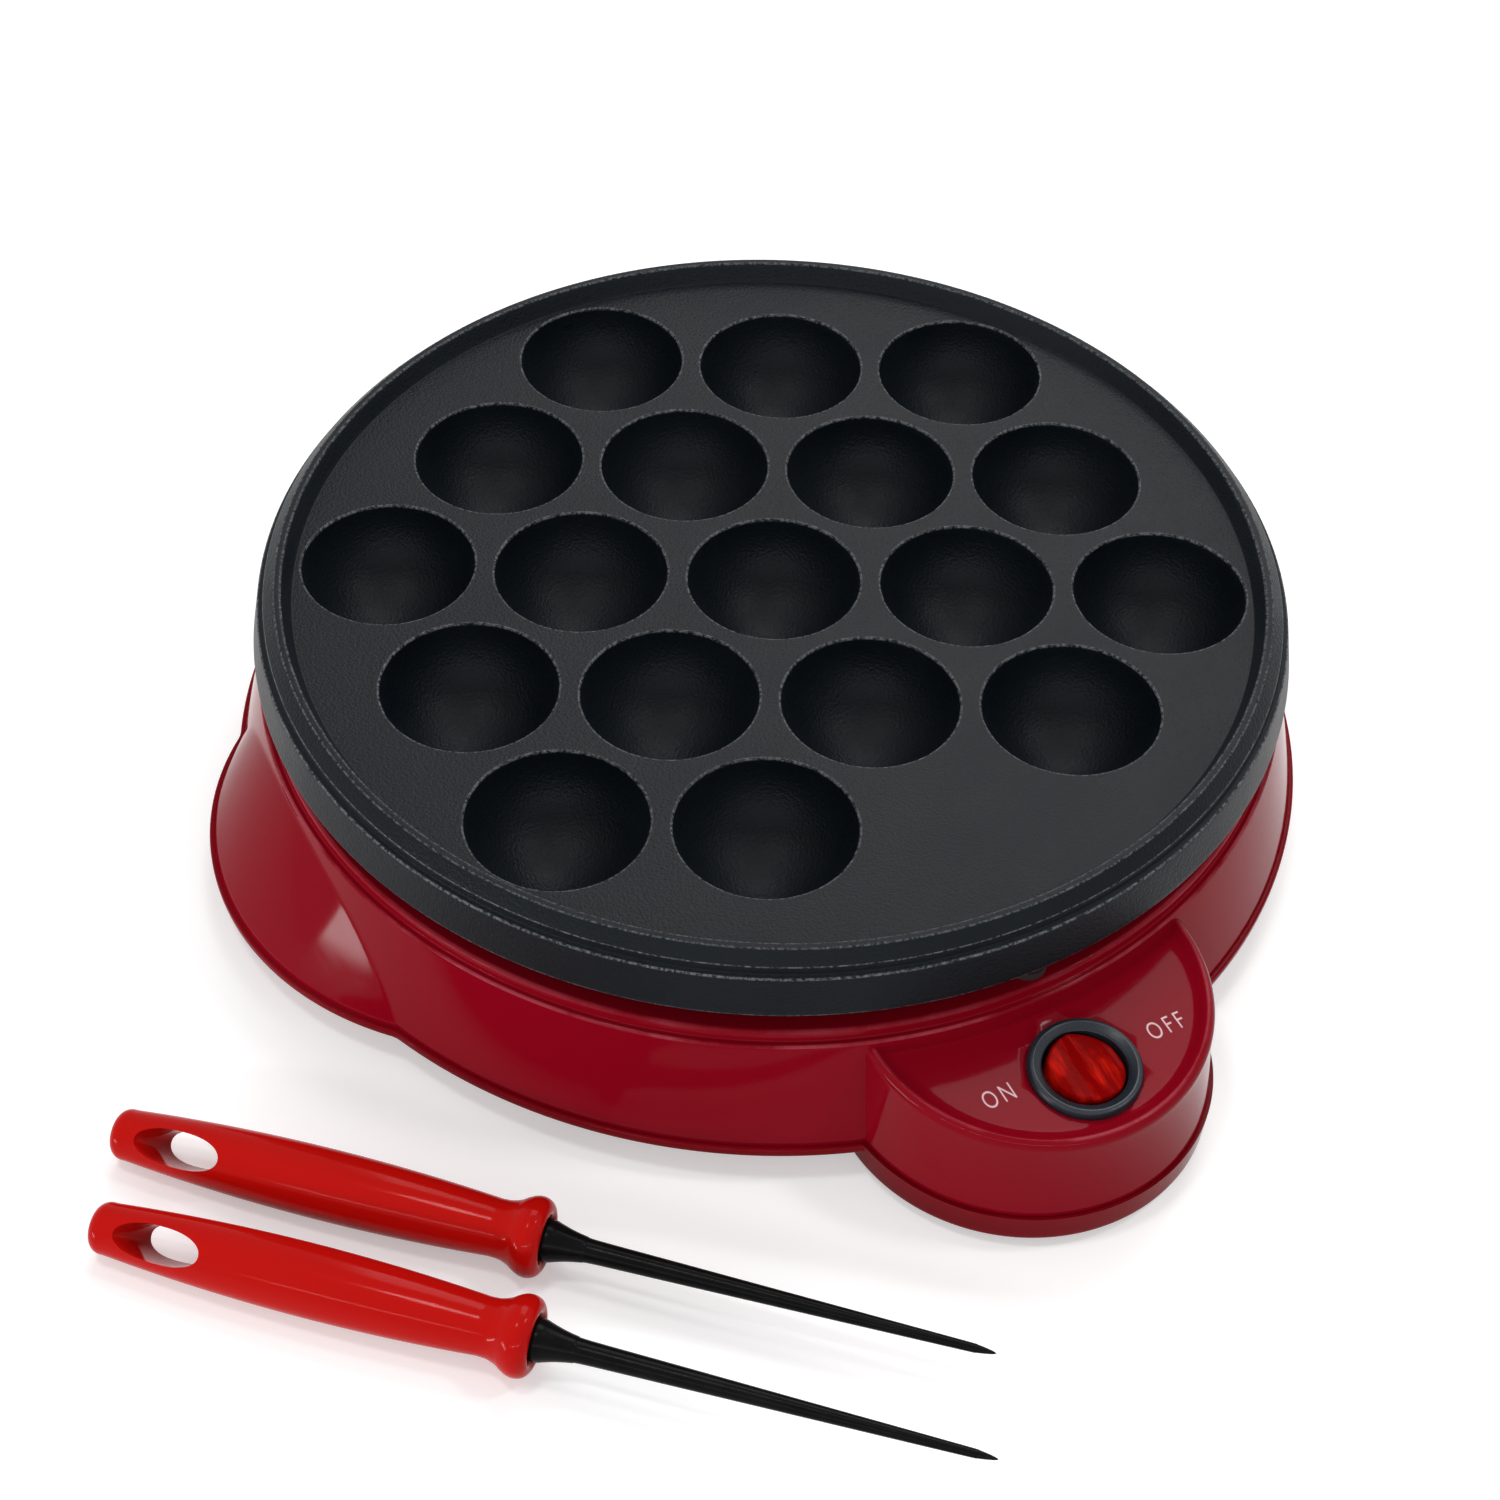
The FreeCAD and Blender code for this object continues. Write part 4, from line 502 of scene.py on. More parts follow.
class Effects:
    """The shader groups that the finishes share, each built once."""

    COLOURS = ("Colour", "Accent", "Edge Scuff And Sheen Colour")
    INPUTS = (*COLOURS, "Roughness", "Scale", "Variation", "Scuff And Sheen")
    OUTPUTS = ("Colour", "Roughness", "Height")
    EDGE_SCALE = 0.8
    EDGE_GLOSS = 0.2

    def __init__(self) -> None:
        """Builds the edge group and one group for each texture."""
        self.edge = self.build_edge()
        makers = {
            Texture.MOULDED: Surface.moulded,
            Texture.CAST: Surface.cast,
            Texture.METAL: Surface.metal,
            Texture.BRAID: Surface.braid,
            Texture.MATT: Surface.matt,
            Texture.LENS: Surface.lens,
        }
        self.groups = {kind: self.build(kind.value, maker) for kind, maker in makers.items()}

    def group(self, name: str, inputs: Sequence[str], outputs: Sequence[str]) -> bpy.types.NodeTree:
        """A new empty group.

        Args:
            name: The group's name.
            inputs: The names of its inputs.
            outputs: The names of its outputs.

        Returns:
            The group, whose sockets are colours where their names are a colour's, and numbers elsewhere.
        """
        group = bpy.data.node_groups.new(name, "ShaderNodeTree")
        for way, labels in (("INPUT", inputs), ("OUTPUT", outputs)):
            for label in labels:
                kind = "NodeSocketColor" if label in self.COLOURS else "NodeSocketFloat"
                group.interface.new_socket(name=label, in_out=way, socket_type=kind)
        return group

    def build_edge(self) -> bpy.types.NodeTree:
        """The mask of edges that get scuffs, and on some finishes a painted highlight: where the mesh's own
        attribute marks a bend, broken up by noise.

        Returns:
            The group, with a scale for the noise and one mask.
        """
        group = self.group("Scuff And Sheen Mask", ("Scale",), ("Mask",))
        tree = Tree(group)
        source = group.nodes.new("NodeGroupInput")
        where = tree.add("TexCoord").outputs["Object"]
        bend = tree.add("Attribute", attribute_name=EDGE).outputs["Fac"]
        patches = tree.span(tree.noise(where, source.outputs["Scale"], 6.0, 0.65), 0.42, 0.6, 0.0, 1.0)
        target = group.nodes.new("NodeGroupOutput")
        group.links.new(tree.math("MULTIPLY", bend, patches), target.inputs["Mask"])
        return group

    def build(self, name: str, maker: Callable[[Surface], Marks]) -> bpy.types.NodeTree:
        """One texture's group.

        Args:
            name: The group's name.
            maker: Adds the texture's nodes and returns its tint, gloss change and height.

        Returns:
            The group, which puts out the colour with scuffed edges and painted edge highlights, the roughness
            and a height.
        """
        group = self.group(name, self.INPUTS, self.OUTPUTS)
        source = group.nodes.new("NodeGroupInput").outputs
        where = Tree(group).add("TexCoord").outputs["Object"]
        tree = Surface(group, where, source["Scale"])
        tint, gloss, height = maker(tree)
        shade = tree.mix(tree.math("MULTIPLY", tint, source["Variation"]), source["Colour"], source["Accent"])
        scale = tree.math("MULTIPLY", source["Scale"], self.EDGE_SCALE)
        edge = tree.add("Group", {"Scale": scale}, node_tree=self.edge)
        # Along bent edges the colour turns to the edge colour: scuffs, and on the glossy reds and the cast
        # plate a painted highlight.
        edge_scuff_and_sheen = tree.math("MULTIPLY", edge.outputs["Mask"], source["Scuff And Sheen"])
        colour = tree.mix(edge_scuff_and_sheen, shade, source["Edge Scuff And Sheen Colour"])
        rough = tree.math("MULTIPLY", source["Roughness"], gloss)
        rough = tree.math("SUBTRACT", rough, tree.math("MULTIPLY", edge_scuff_and_sheen, self.EDGE_GLOSS))
        target = group.nodes.new("NodeGroupOutput")
        for label, socket in zip(self.OUTPUTS, (colour, rough, height)):
            group.links.new(socket, target.inputs[label])
        return group


@dataclass(frozen=True)
class Finish:
    """One surface finish: colour, gloss, the marks of its making and use, and on some painted light: a
    highlight colour along rounded edges, and a glow.
    """

    slot: str
    texture: Texture
    colour: Colour
    accent: Colour
    roughness: float
    scale: float
    relief: float
    variation: float = 0.5
    # How much the edge colour shows on bent edges: scuffing, and a painted highlight where the edge colour is
    # lighter.
    scuff_and_sheen: float = 0.4
    metallic: float = 0.0
    specular: float = 0.5
    transmission: float = 0.0
    painted_emission: float = 0.0
    edge_scuff_and_sheen_colour: Colour | None = None

    def material(self, effects: Effects) -> bpy.types.Material:
        """Builds the material.

        Args:
            effects: The shared shader groups.

        Returns:
            The material, whose colour, roughness and relief come from its texture's group.
        """
        made = bpy.data.materials.new(self.slot)
        made.use_nodes = True
        made.node_tree.nodes.clear()
        tree = Tree(made.node_tree)
        inputs = {
            "Colour": (*self.colour, 1),
            "Accent": (*self.accent, 1),
            "Edge Scuff And Sheen Colour": (*(self.edge_scuff_and_sheen_colour or self.accent), 1),
            "Roughness": self.roughness,
            "Scale": self.scale,
            "Variation": self.variation,
            "Scuff And Sheen": self.scuff_and_sheen,
        }
        marks = tree.add("Group", node_tree=effects.groups[self.texture])
        for key, value in inputs.items():
            marks.inputs[key].default_value = value
        bump = tree.add("Bump", {
            "Height": marks.outputs["Height"],
            "Distance": self.relief * MM,
            "Strength": 1.0,
        })
        shader = tree.add("BsdfPrincipled", {
            "Base Color": marks.outputs["Colour"],
            "Roughness": marks.outputs["Roughness"],
            "Normal": bump.outputs[0],
            "Metallic": self.metallic,
            "Specular IOR Level": self.specular,
            "Transmission Weight": self.transmission,
        })
        # A painted glow: the colour also shines, though the part is no lamp.
        if self.painted_emission:
            made.node_tree.links.new(marks.outputs["Colour"], shader.inputs["Emission Color"])
            shader.inputs["Emission Strength"].default_value = self.painted_emission
        output = tree.add("OutputMaterial")
        made.node_tree.links.new(shader.outputs[0], output.inputs["Surface"])
        return made


class Finishes:
    """All finishes of the cooker, made once and handed out by slot."""

    TABLE = (
        # The lighter edge colours of the reds and of the cast plate are painted highlights along their
        # rounded edges, mixed with scuffing.
        Finish("housing_red", Texture.MOULDED, (0.24, 0.002, 0.01), (0.19, 0.001, 0.007), 0.085, 55.0, 0.04,
               variation=0.5, scuff_and_sheen=0.5, specular=0.05, edge_scuff_and_sheen_colour=(0.6, 0.13, 0.18)),
        Finish("tray_red", Texture.MOULDED, (0.2, 0.002, 0.007), (0.16, 0.001, 0.004), 0.12, 60.0, 0.04,
               variation=0.5, scuff_and_sheen=0.15, specular=0.03, edge_scuff_and_sheen_colour=(0.4, 0.03, 0.05)),
        Finish("coated_cast", Texture.CAST, (0.0035, 0.0055, 0.0078), (0.025, 0.029, 0.033), 0.38, 1500.0,
               0.11, variation=0.12, scuff_and_sheen=0.65, specular=0.105, edge_scuff_and_sheen_colour=(0.2, 0.21, 0.225)),
        Finish("bezel_black", Texture.MATT, (0.008, 0.012, 0.018), (0.03, 0.04, 0.055), 0.3, 2400.0, 0.01,
               variation=0.3, scuff_and_sheen=0.5, specular=0.3),
        # The rocker's bright streaks and its glow are painted light, for light seen through the red lens.
        Finish("rocker_red", Texture.LENS, (0.2, 0.0004, 0.0006), (0.68, 0.012, 0.004), 0.05, 130.0, 0.05,
               variation=0.9, scuff_and_sheen=0.0, specular=0.012, painted_emission=0.03),
        Finish("handle_red", Texture.MOULDED, (0.48, 0.005, 0.003), (0.38, 0.002, 0.002), 0.1, 90.0, 0.04,
               variation=0.4, scuff_and_sheen=0.15, specular=0.058, edge_scuff_and_sheen_colour=(0.7, 0.06, 0.05)),
        Finish("spike_black", Texture.MATT, (0.003, 0.003, 0.003), (0.018, 0.018, 0.02), 0.24, 1800.0, 0.015,
               variation=0.3, scuff_and_sheen=0.3, specular=0.045),
        Finish("rubber_black", Texture.MATT, (0.02, 0.02, 0.02), (0.05, 0.048, 0.045), 0.75, 1500.0, 0.05),
        Finish("plastic_black", Texture.MATT, (0.018, 0.018, 0.02), (0.06, 0.06, 0.062), 0.45, 1700.0, 0.03),
        Finish("plastic_cream", Texture.MATT, (0.72, 0.68, 0.58), (0.55, 0.48, 0.36), 0.45, 1700.0, 0.02),
        Finish("steel", Texture.METAL, (0.55, 0.55, 0.56), (0.36, 0.34, 0.31), 0.3, 500.0, 0.02,
               metallic=1.0),
        Finish("pan_aluminium", Texture.METAL, (0.78, 0.78, 0.79), (0.6, 0.56, 0.5), 0.26, 300.0, 0.02,
               metallic=1.0),
        Finish("element_steel", Texture.METAL, (0.16, 0.15, 0.15), (0.25, 0.16, 0.09), 0.5, 400.0, 0.03,
               metallic=1.0),
        Finish("ceramic", Texture.MATT, (0.82, 0.8, 0.74), (0.66, 0.6, 0.5), 0.25, 900.0, 0.01, scuff_and_sheen=0.2),
        # The mica spacers' colour is darkened almost to black: painted shade, for the shaded gap under the
        # plate where they show.
        Finish("spacer_mica", Texture.MATT, (0.014, 0.008, 0.007), (0.03, 0.02, 0.016), 0.6, 700.0, 0.05),
        Finish("brass", Texture.METAL, (0.72, 0.52, 0.22), (0.5, 0.3, 0.12), 0.3, 500.0, 0.02, metallic=1.0),
        Finish("sleeve_white", Texture.BRAID, (0.78, 0.76, 0.7), (0.5, 0.46, 0.38), 0.7, 260.0, 0.15),
        Finish("lead_brown", Texture.MATT, (0.16, 0.06, 0.025), (0.1, 0.035, 0.015), 0.35, 1200.0, 0.02),
        Finish("lead_blue", Texture.MATT, (0.02, 0.08, 0.35), (0.01, 0.05, 0.22), 0.35, 1200.0, 0.02),
        Finish("lead_green", Texture.MATT, (0.1, 0.35, 0.06), (0.45, 0.42, 0.04), 0.35, 1200.0, 0.02),
        Finish("lamp_glass", Texture.MOULDED, (0.95, 0.55, 0.35), (0.9, 0.4, 0.2), 0.06, 200.0, 0.02,
               transmission=0.8),
        Finish("letter_white", Texture.MATT, (0.75, 0.52, 0.56), (0.55, 0.3, 0.35), 0.5, 1600.0, 0.01),
    )

    def __init__(self) -> None:
        """Builds the shared groups and every material."""
        effects = Effects()
        self.materials = {finish.slot: finish.material(effects) for finish in self.TABLE}

    def dress(self, piece: bpy.types.Object, slot: str) -> None:
        """Gives an object one finish."""
        piece.data.materials.clear()
        piece.data.materials.append(self.materials[slot])


@dataclass
class Maker:
    """What every sub-assembly needs: the finishes, and the steps that end each piece."""

    finishes: Finishes

    def finish(
        self,
        piece: bpy.types.Object,
        slot: str,
        body: Body,
        nodes: Sequence[str] = (),
        record_slot: str = "",
    ) -> None:
        """Dresses a piece, hangs it on its body and hides the nodes it stands for.

        Args:
            piece: The finished object.
            slot: Its finish.
            body: The body that it moves with.
            nodes: CAD nodes that it replaces.
            record_slot: The record's slot, where it isn't the finish's own; not used.
        """
        self.finishes.dress(piece, slot)
        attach(piece, body.value)
        if nodes:
            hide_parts(*nodes)
        LOG.info("%s: %d faces, finish %s, body %s", piece.name, len(piece.data.polygons), slot, body.value)

    def lower_part(self, node: str, name: str, spot: Vector, normal: Vector) -> bpy.types.Object:
        """A merged copy of a CAD node's part behind a plane, closed where the plane cuts it.

        Args:
            node: The CAD node.
            name: The new piece's name.
            spot: A point of the plane, in metres.
            normal: The way to the side that is cut off.

        Returns:
            The copy, at the origin.
        """
        work = bmesh.new()
        work.from_mesh(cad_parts[node].data)
        bmesh.ops.remove_doubles(work, verts=work.verts, dist=2e-6)
        bmesh.ops.dissolve_limit(work, angle_limit=math.radians(0.6), verts=work.verts, edges=work.edges)
        whole = [*work.verts, *work.edges, *work.faces]
        cut = bmesh.ops.bisect_plane(work, geom=whole, plane_co=spot, plane_no=normal, clear_outer=True)
        border = [item for item in cut["geom_cut"] if isinstance(item, bmesh.types.BMEdge)]
        bmesh.ops.triangle_fill(work, edges=border)
        data = bpy.data.meshes.new(name)
        work.to_mesh(data)
        work.free()
        smooth(data, 28)
        return link(name, data)


def smooth(data: bpy.types.Mesh, sharp: float) -> None:
    """Shades a mesh smooth, except for edges that bend by more than an angle in degrees."""
    data.shade_smooth()
    data.set_sharp_from_angle(angle=math.radians(sharp))


def link(name: str, data: bpy.types.ID) -> bpy.types.Object:
    """A new object, put in the scene.

    Args:
        name: The object's name.
        data: Its mesh, text, lamp or camera.

    Returns:
        The object, at the origin.
    """
    item = bpy.data.objects.new(name, data)
    bpy.context.collection.objects.link(item)
    return item


def soften(piece: bpy.types.Object, width: float, segments: int, angle: float) -> None:
    """Rounds a piece's sharp edges with a bevel and evens its shading.

    Args:
        piece: The piece.
        width: The bevel's width in millimetres.
        segments: Faces across the bevel.
        angle: The bend in degrees from which an edge is rounded.
    """
    bevel = piece.modifiers.new("soft_edges", "BEVEL")
    bevel.width = width * MM
    bevel.segments = segments
    bevel.limit_method = "ANGLE"
    bevel.angle_limit = math.radians(angle)
    bevel.harden_normals = False
    piece.modifiers.new("even_shading", "WEIGHTED_NORMAL").keep_sharp = True


def cut_out(piece: bpy.types.Object, tool: bpy.types.Object) -> None:
    """Cuts a tool's shape out of a piece for good, and removes the tool.

    Args:
        piece: The piece, whose mesh is exchanged.
        tool: A closed object round what goes.
    """
    cut = piece.modifiers.new("cut", "BOOLEAN")
    cut.operation = "DIFFERENCE"
    cut.solver = "EXACT"
    cut.object = tool
    view = bpy.context.evaluated_depsgraph_get()
    data = bpy.data.meshes.new_from_object(piece.evaluated_get(view))
    piece.modifiers.clear()
    piece.data = data
    smooth(data, 35)
    bpy.data.objects.remove(tool)


# ---- Upper housing ----
@dataclass
class Panel:
    """The sunk control panel: a plane that leans towards the cook about a point on the lobe's axis."""

    lobe_y: float = -115.0
    height: float = 31.1
    tilt: float = 4.5
    switch_y: float = -136.9

    def matrix(self) -> Matrix:
        """The move and turn from the lobe's own axis, with the panel at zero, to the part's frame."""
        lean = Matrix.Rotation(math.radians(self.tilt), 4, "X")
        return Matrix.Translation((0, self.lobe_y, self.height)) @ lean

    def switch(self) -> Matrix:
        """The same for the switch's axis."""
        return self.matrix() @ Matrix.Translation((0, self.switch_y - self.lobe_y, 0))


@dataclass
class UpperHousing(Maker):
    """The crimson upper shell: stepped conical wall, two grips, and the lobe with its sunk panel."""

    panel: Panel = field(default_factory=Panel)
    low: float = 8.0
    foot_radius: float = 125.9
    step_radius: float = 119.8
    step_height: float = 33.6
    rim_radius: float = 118.0
    rim_height: float = 37.5
    opening: float = 107.5
    wall: float = 2.2
    lobe_foot: float = 41.5
    bead: tuple = (
        (39.78, -1.2), (39.72, -0.2), (39.6, 0.5), (39.3, 1.1), (38.85, 1.62), (38.3, 1.93), (37.75, 1.88),
        (37.2, 1.52), (36.6, 1.02), (35.9, 0.52), (35.1, 0.17), (34.3, 0.02), (33.4, 0.0),
    )
    panel_edge: float = 32.6
    grip_radius: float = 68.6
    grip_places: tuple = ((8.0, 68.1), (20.0, 60.4), (33.6, 51.0))
    grip_shift: float = 2.3
    crease: float = 0.3
    lobe_columns: int = 140
    wall_columns: tuple = (90, 100, 100, 100, 90)
    gland_height: float = 16.5
    gland_hole: float = 5.9
    switch_hole: float = 10.2
    boss_circle: float = 113.5
    words: tuple = (("ON", -19.7, 2.3), ("OFF", 21.6, 1.7))
    letter_size: float = 6.1
    letter_width: float = 0.7
    letter_space: float = 1.35
    letter_weight: float = -0.05
    letter_height: float = 0.02
    upward: Array = field(default_factory=lambda: np.linspace(0, 1, 6))

    def cone(self, height: Array) -> Array:
        """The wall's radius, which falls evenly from foot to step."""
        share = (height - self.low) / (self.step_height - self.low)
        return self.foot_radius + (self.step_radius - self.foot_radius) * share

    def grip(self, angle: Array, height: Array, side: int) -> Array:
        """How far a grip reaches from the plate's axis at an angle.

        Its outline is a circle whose centre slides along a parabola through three places. With p the
        centre's distance along the angle, the far side of the circle lies at p plus the root of
        p squared plus its radius squared less its centre's distance squared.

        Args:
            angle: The bearing from the plate's axis.
            height: The level.
            side: 1 for the right grip, -1 for the left.

        Returns:
            The distance from the plate's axis.
        """
        centre = side * self.grip_centre(height)
        along = centre * np.cos(angle) + self.grip_shift * np.sin(angle)
        return along + np.sqrt(along**2 + self.grip_radius**2 - centre**2 - self.grip_shift**2)

    def grip_centre(self, height: Array) -> Array:
        """The parabola through the three places of the grip's centre."""
        heights, centres = zip(*self.grip_places)
        return np.polyval(np.polyfit(heights, centres, 2), np.clip(height, self.low, self.step_height))

    def lobe_rows(self) -> tuple[Array, int]:
        """The lobe's profile rows, from its foot straight up to the bead, over it and in to the panel.

        Returns:
            Radius, height above the panel and share of lean of each row, and the number of the crest's row.
        """
        share = np.linspace(0, 1, 16)[:-1, None]
        foot = np.array([[self.lobe_foot, self.low - self.panel.height]])
        over = spline(self.bead, 3)
        rows = np.concatenate([foot * (1 - share) + over[:1] * share, over, [[self.panel_edge, 0.0]]])
        lean = np.concatenate([share[:, 0], np.ones(len(over) + 1)])
        return np.column_stack([rows, lean]), int(np.argmax(rows[:, 1]))

    def lobe_points(self, rows: Array, angle: Array) -> Array:
        """Points of the lobe: level circles at its foot that lean over to the panel's plane at its top.

        Args:
            rows: Radius, height and share of lean of each row.
            angle: The bearing of each column from the lobe's axis.

        Returns:
            The grid of points.
        """
        tilt = math.radians(self.panel.tilt)
        radius, height, share = (rows[:, i:i + 1] for i in range(3))
        out = radius * np.sin(angle)
        y = out * (1 - share + share * math.cos(tilt)) - height * share * math.sin(tilt)
        z = height * (1 - share + share * math.cos(tilt)) + out * share * math.sin(tilt)
        return places(radius * np.cos(angle), self.panel.lobe_y + y, self.panel.height + z)

    def lobe_ends(self, rows: Array) -> Array:
        """Where the lobe runs into the conical wall, found by halving.

        Args:
            rows: The lobe's profile rows.

        Returns:
            For each row, the angle on the right.
        """
        inner, outer = (np.full((len(rows), 1), math.radians(angle)) for angle in (50, -60))
        for _ in range(40):
            middle = (inner + outer) / 2
            points = self.lobe_points(rows, middle)
            free = np.hypot(points[..., 0], points[..., 1]) > self.cone(points[..., 2])
            outer, inner = np.where(free, middle, outer), np.where(free, inner, middle)
        return (inner + outer) / 2

    def wall_angles(self, height: Array, start: Array) -> Array:
        """The wall's columns, which follow the creases beside the lobe and both grips.

        Args:
            height: The rows' levels.
            start: The rows' angles at the lobe, on the right.

        Returns:
            The angles, rows by columns.
        """
        away = np.hypot(self.grip_centre(height), self.grip_shift)
        bearing = np.arctan2(self.grip_shift, self.grip_centre(height))
        half = np.maximum(crossing(self.cone(height), away, self.grip_radius), math.radians(0.6))
        right = (start, bearing - half, bearing + half)
        knots = (*right, *(math.pi - knot for knot in (bearing + half, bearing - half, start)))
        return np.concatenate([eased(knots, self.wall_columns), knots[-1]], axis=1)

    def wall_radius(self, angle: Array, height: Array) -> Array:
        """The wall's reach with both grips, their creases softened.

        Args:
            angle: Rows by columns of bearings.
            height: The rows' levels.

        Returns:
            The distance from the plate's axis.
        """
        radius = np.broadcast_to(self.cone(height), angle.shape)
        for side in (-1, 1):
            radius = soft_max(radius, self.grip(angle, height, side), self.crease)
        return radius

    def make_shell(self) -> None:
        """The shell's outside as one skin, then its wall's thickness behind it."""
        rows, crest = self.lobe_rows()
        ends = self.lobe_ends(rows)
        share = np.linspace(0, 1, self.lobe_columns)[None]
        lobe = self.lobe_points(rows, ends + share * (-math.pi - 2 * ends))
        skin = Skin()
        skin.grid(lobe, wrap=False)
        angle = self.add_wall(skin, lobe, crest)
        line = self.panel_line(lobe)
        turn = self.add_strip(skin, np.concatenate([lobe[crest:, 0], line, lobe[crest:, -1][::-1]]))
        self.add_shoulder(skin, np.concatenate([angle, turn[-2:0:-1] + FULL]))
        self.add_panel(skin, np.concatenate([lobe[-1], line[::-1]]))
        piece = skin.mesh("upper_shell", 30.0, Vector((0, 0, 0.01)))
        thick = piece.modifiers.new("wall", "SOLIDIFY")
        thick.thickness = self.wall * MM
        thick.offset = -1
        self.finish(piece, "housing_red", Body.BASE, ["upper_housing"])

    def add_wall(self, skin: Skin, lobe: Array, crest: int) -> Array:
        """Adds the wall outside the lobe, with a hole for the cord's gland.

        Args:
            skin: The shell's skin.
            lobe: The lobe's grid, whose end columns the wall meets.
            crest: The number of the lobe's highest row.

        Returns:
            The angles of the wall's top row.
        """
        beside = lobe[:crest + 1, 0, 2]
        above = beside[-1] + (self.step_height - beside[-1]) * self.upward[1:]
        height = np.concatenate([beside, above])[:, None]
        meet = lobe[np.minimum(np.arange(len(height)), crest), 0]
        angle = self.wall_angles(height, np.arctan2(meet[:, 1], meet[:, 0])[:, None])
        wall = upright(self.wall_radius(angle, height), angle, height)
        centre = (wall[:-1, :-1] + wall[1:, 1:]) / 2
        near = np.hypot(centre[..., 0], centre[..., 2] - self.gland_height) < self.gland_hole
        skin.grid(wall, wrap=False, keep=~(near & (centre[..., 1] > 0)))
        return angle[-1]

    def panel_line(self, lobe: Array) -> Array:
        """Where the panel's plane meets the conical wall, found by putting each level into the next reach.

        Args:
            lobe: The lobe's grid, between whose ends the line runs.

        Returns:
            The line's points, from right to left.
        """
        first_turn = math.atan2(lobe[-1, 0, 1], lobe[-1, 0, 0])
        sweep = np.linspace(first_turn, -math.pi - first_turn, 120)[1:-1]
        slope = math.tan(math.radians(self.panel.tilt))
        reach = np.full_like(sweep, self.step_radius)
        for _ in range(12):
            level = self.panel.height + (reach * np.sin(sweep) - self.panel.lobe_y) * slope
            reach = self.cone(level)
        return upright(reach, sweep, level)

    def add_strip(self, skin: Skin, lower: Array) -> Array:
        """Adds the wall's part between the lobe and the step.

        Args:
            skin: The shell's skin.
            lower: The strip's lower edge, from right to left.

        Returns:
            The angles of the strip's columns.
        """
        turn = np.arctan2(lower[:, 1], lower[:, 0])
        height = lower[:, 2] + (self.step_height - lower[:, 2]) * self.upward[:, None]
        skin.grid(upright(self.cone(height), turn[None], height), wrap=False)
        return turn

    def add_shoulder(self, skin: Skin, turn: Array) -> None:
        """Adds the step, the top ring and the opening's edge.

        Args:
            skin: The shell's skin.
            turn: The columns' angles.
        """
        shoulder = rounded([
            (self.step_radius, self.step_height, 0.0),
            (self.step_radius - 0.23, self.step_height + 1.0, 0.75),
            (self.rim_radius, self.step_height + 1.0, 0.35),
            (self.rim_radius, self.rim_height, 1.1),
            (self.opening, self.rim_height, 0.4),
            (self.opening, self.rim_height - 0.6, 0.0),
        ])
        skin.grid(upright(shoulder[:, :1], turn, shoulder[:, 1:]))

    def add_panel(self, skin: Skin, border: Array) -> None:
        """Adds the sunk panel with the switch's hole.

        Args:
            skin: The shell's skin.
            border: The panel's outline.
        """
        outline = place(border, self.panel.matrix().inverted())[:, :2]
        hole = circle(self.switch_hole, 96, 0.0, self.panel.switch_y - self.panel.lobe_y)
        skin.flat([outline, hole], 0.0, self.panel.matrix())

    def make_bosses(self) -> None:
        """Screw bosses inside the shell, and the round pad behind the cord's gland."""
        skin = Skin()
        low, top = self.low, self.rim_height - 1.9
        boss = rounded([(1.55, low, 0), (4.2, low, 0.3), (4.2, top, 0.0), (1.55, top, 0), (1.55, low, 0)], 3)
        for x, y in around(self.boss_circle, DIAGONALS):
            skin.grid(revolve(boss, 40, x, y))
        self.finish(skin.mesh("screw_bosses"), "housing_red", Body.BASE)
        pad = Skin()
        ring = rounded([
            (5.3, 119.6, 0), (8.2, 119.6, 0), (8.2, 126.8, 0.7), (5.3, 126.8, 0.3), (5.3, 119.6, 0),
        ])
        pad.grid(place(revolve(ring, 72), backward(self.gland_height)))
        self.finish(pad.mesh("gland_pad"), "housing_red", Body.BASE)

    def make_letters(self) -> None:
        """ON and OFF, printed on the panel either side of the switch."""
        squeeze = Matrix.Diagonal((self.letter_width, 1.0, 1.0, 1.0))
        for word, x, y in self.words:
            curve = bpy.data.curves.new(f"word_{word}", "FONT")
            curve.body = word
            curve.size = self.letter_size
            curve.space_character = self.letter_space
            curve.align_x = "CENTER"
            curve.align_y = "CENTER"
            curve.offset = self.letter_weight
            curve.extrude = self.letter_height
            text = link(f"text_{word}", curve)
            data = bpy.data.meshes.new_from_object(text)
            bpy.data.objects.remove(text)
            lift = Matrix.Translation((x, y, 0.03))
            data.transform(Matrix.Scale(MM, 4) @ self.panel.switch() @ lift @ squeeze)
            piece = link(f"word_{word.lower()}", data)
            self.finish(piece, "letter_white", Body.BASE, record_slot="housing_red")

    def make(self) -> None:
        """Builds the whole upper housing."""
        self.make_shell()
        self.make_bosses()
        self.make_letters()


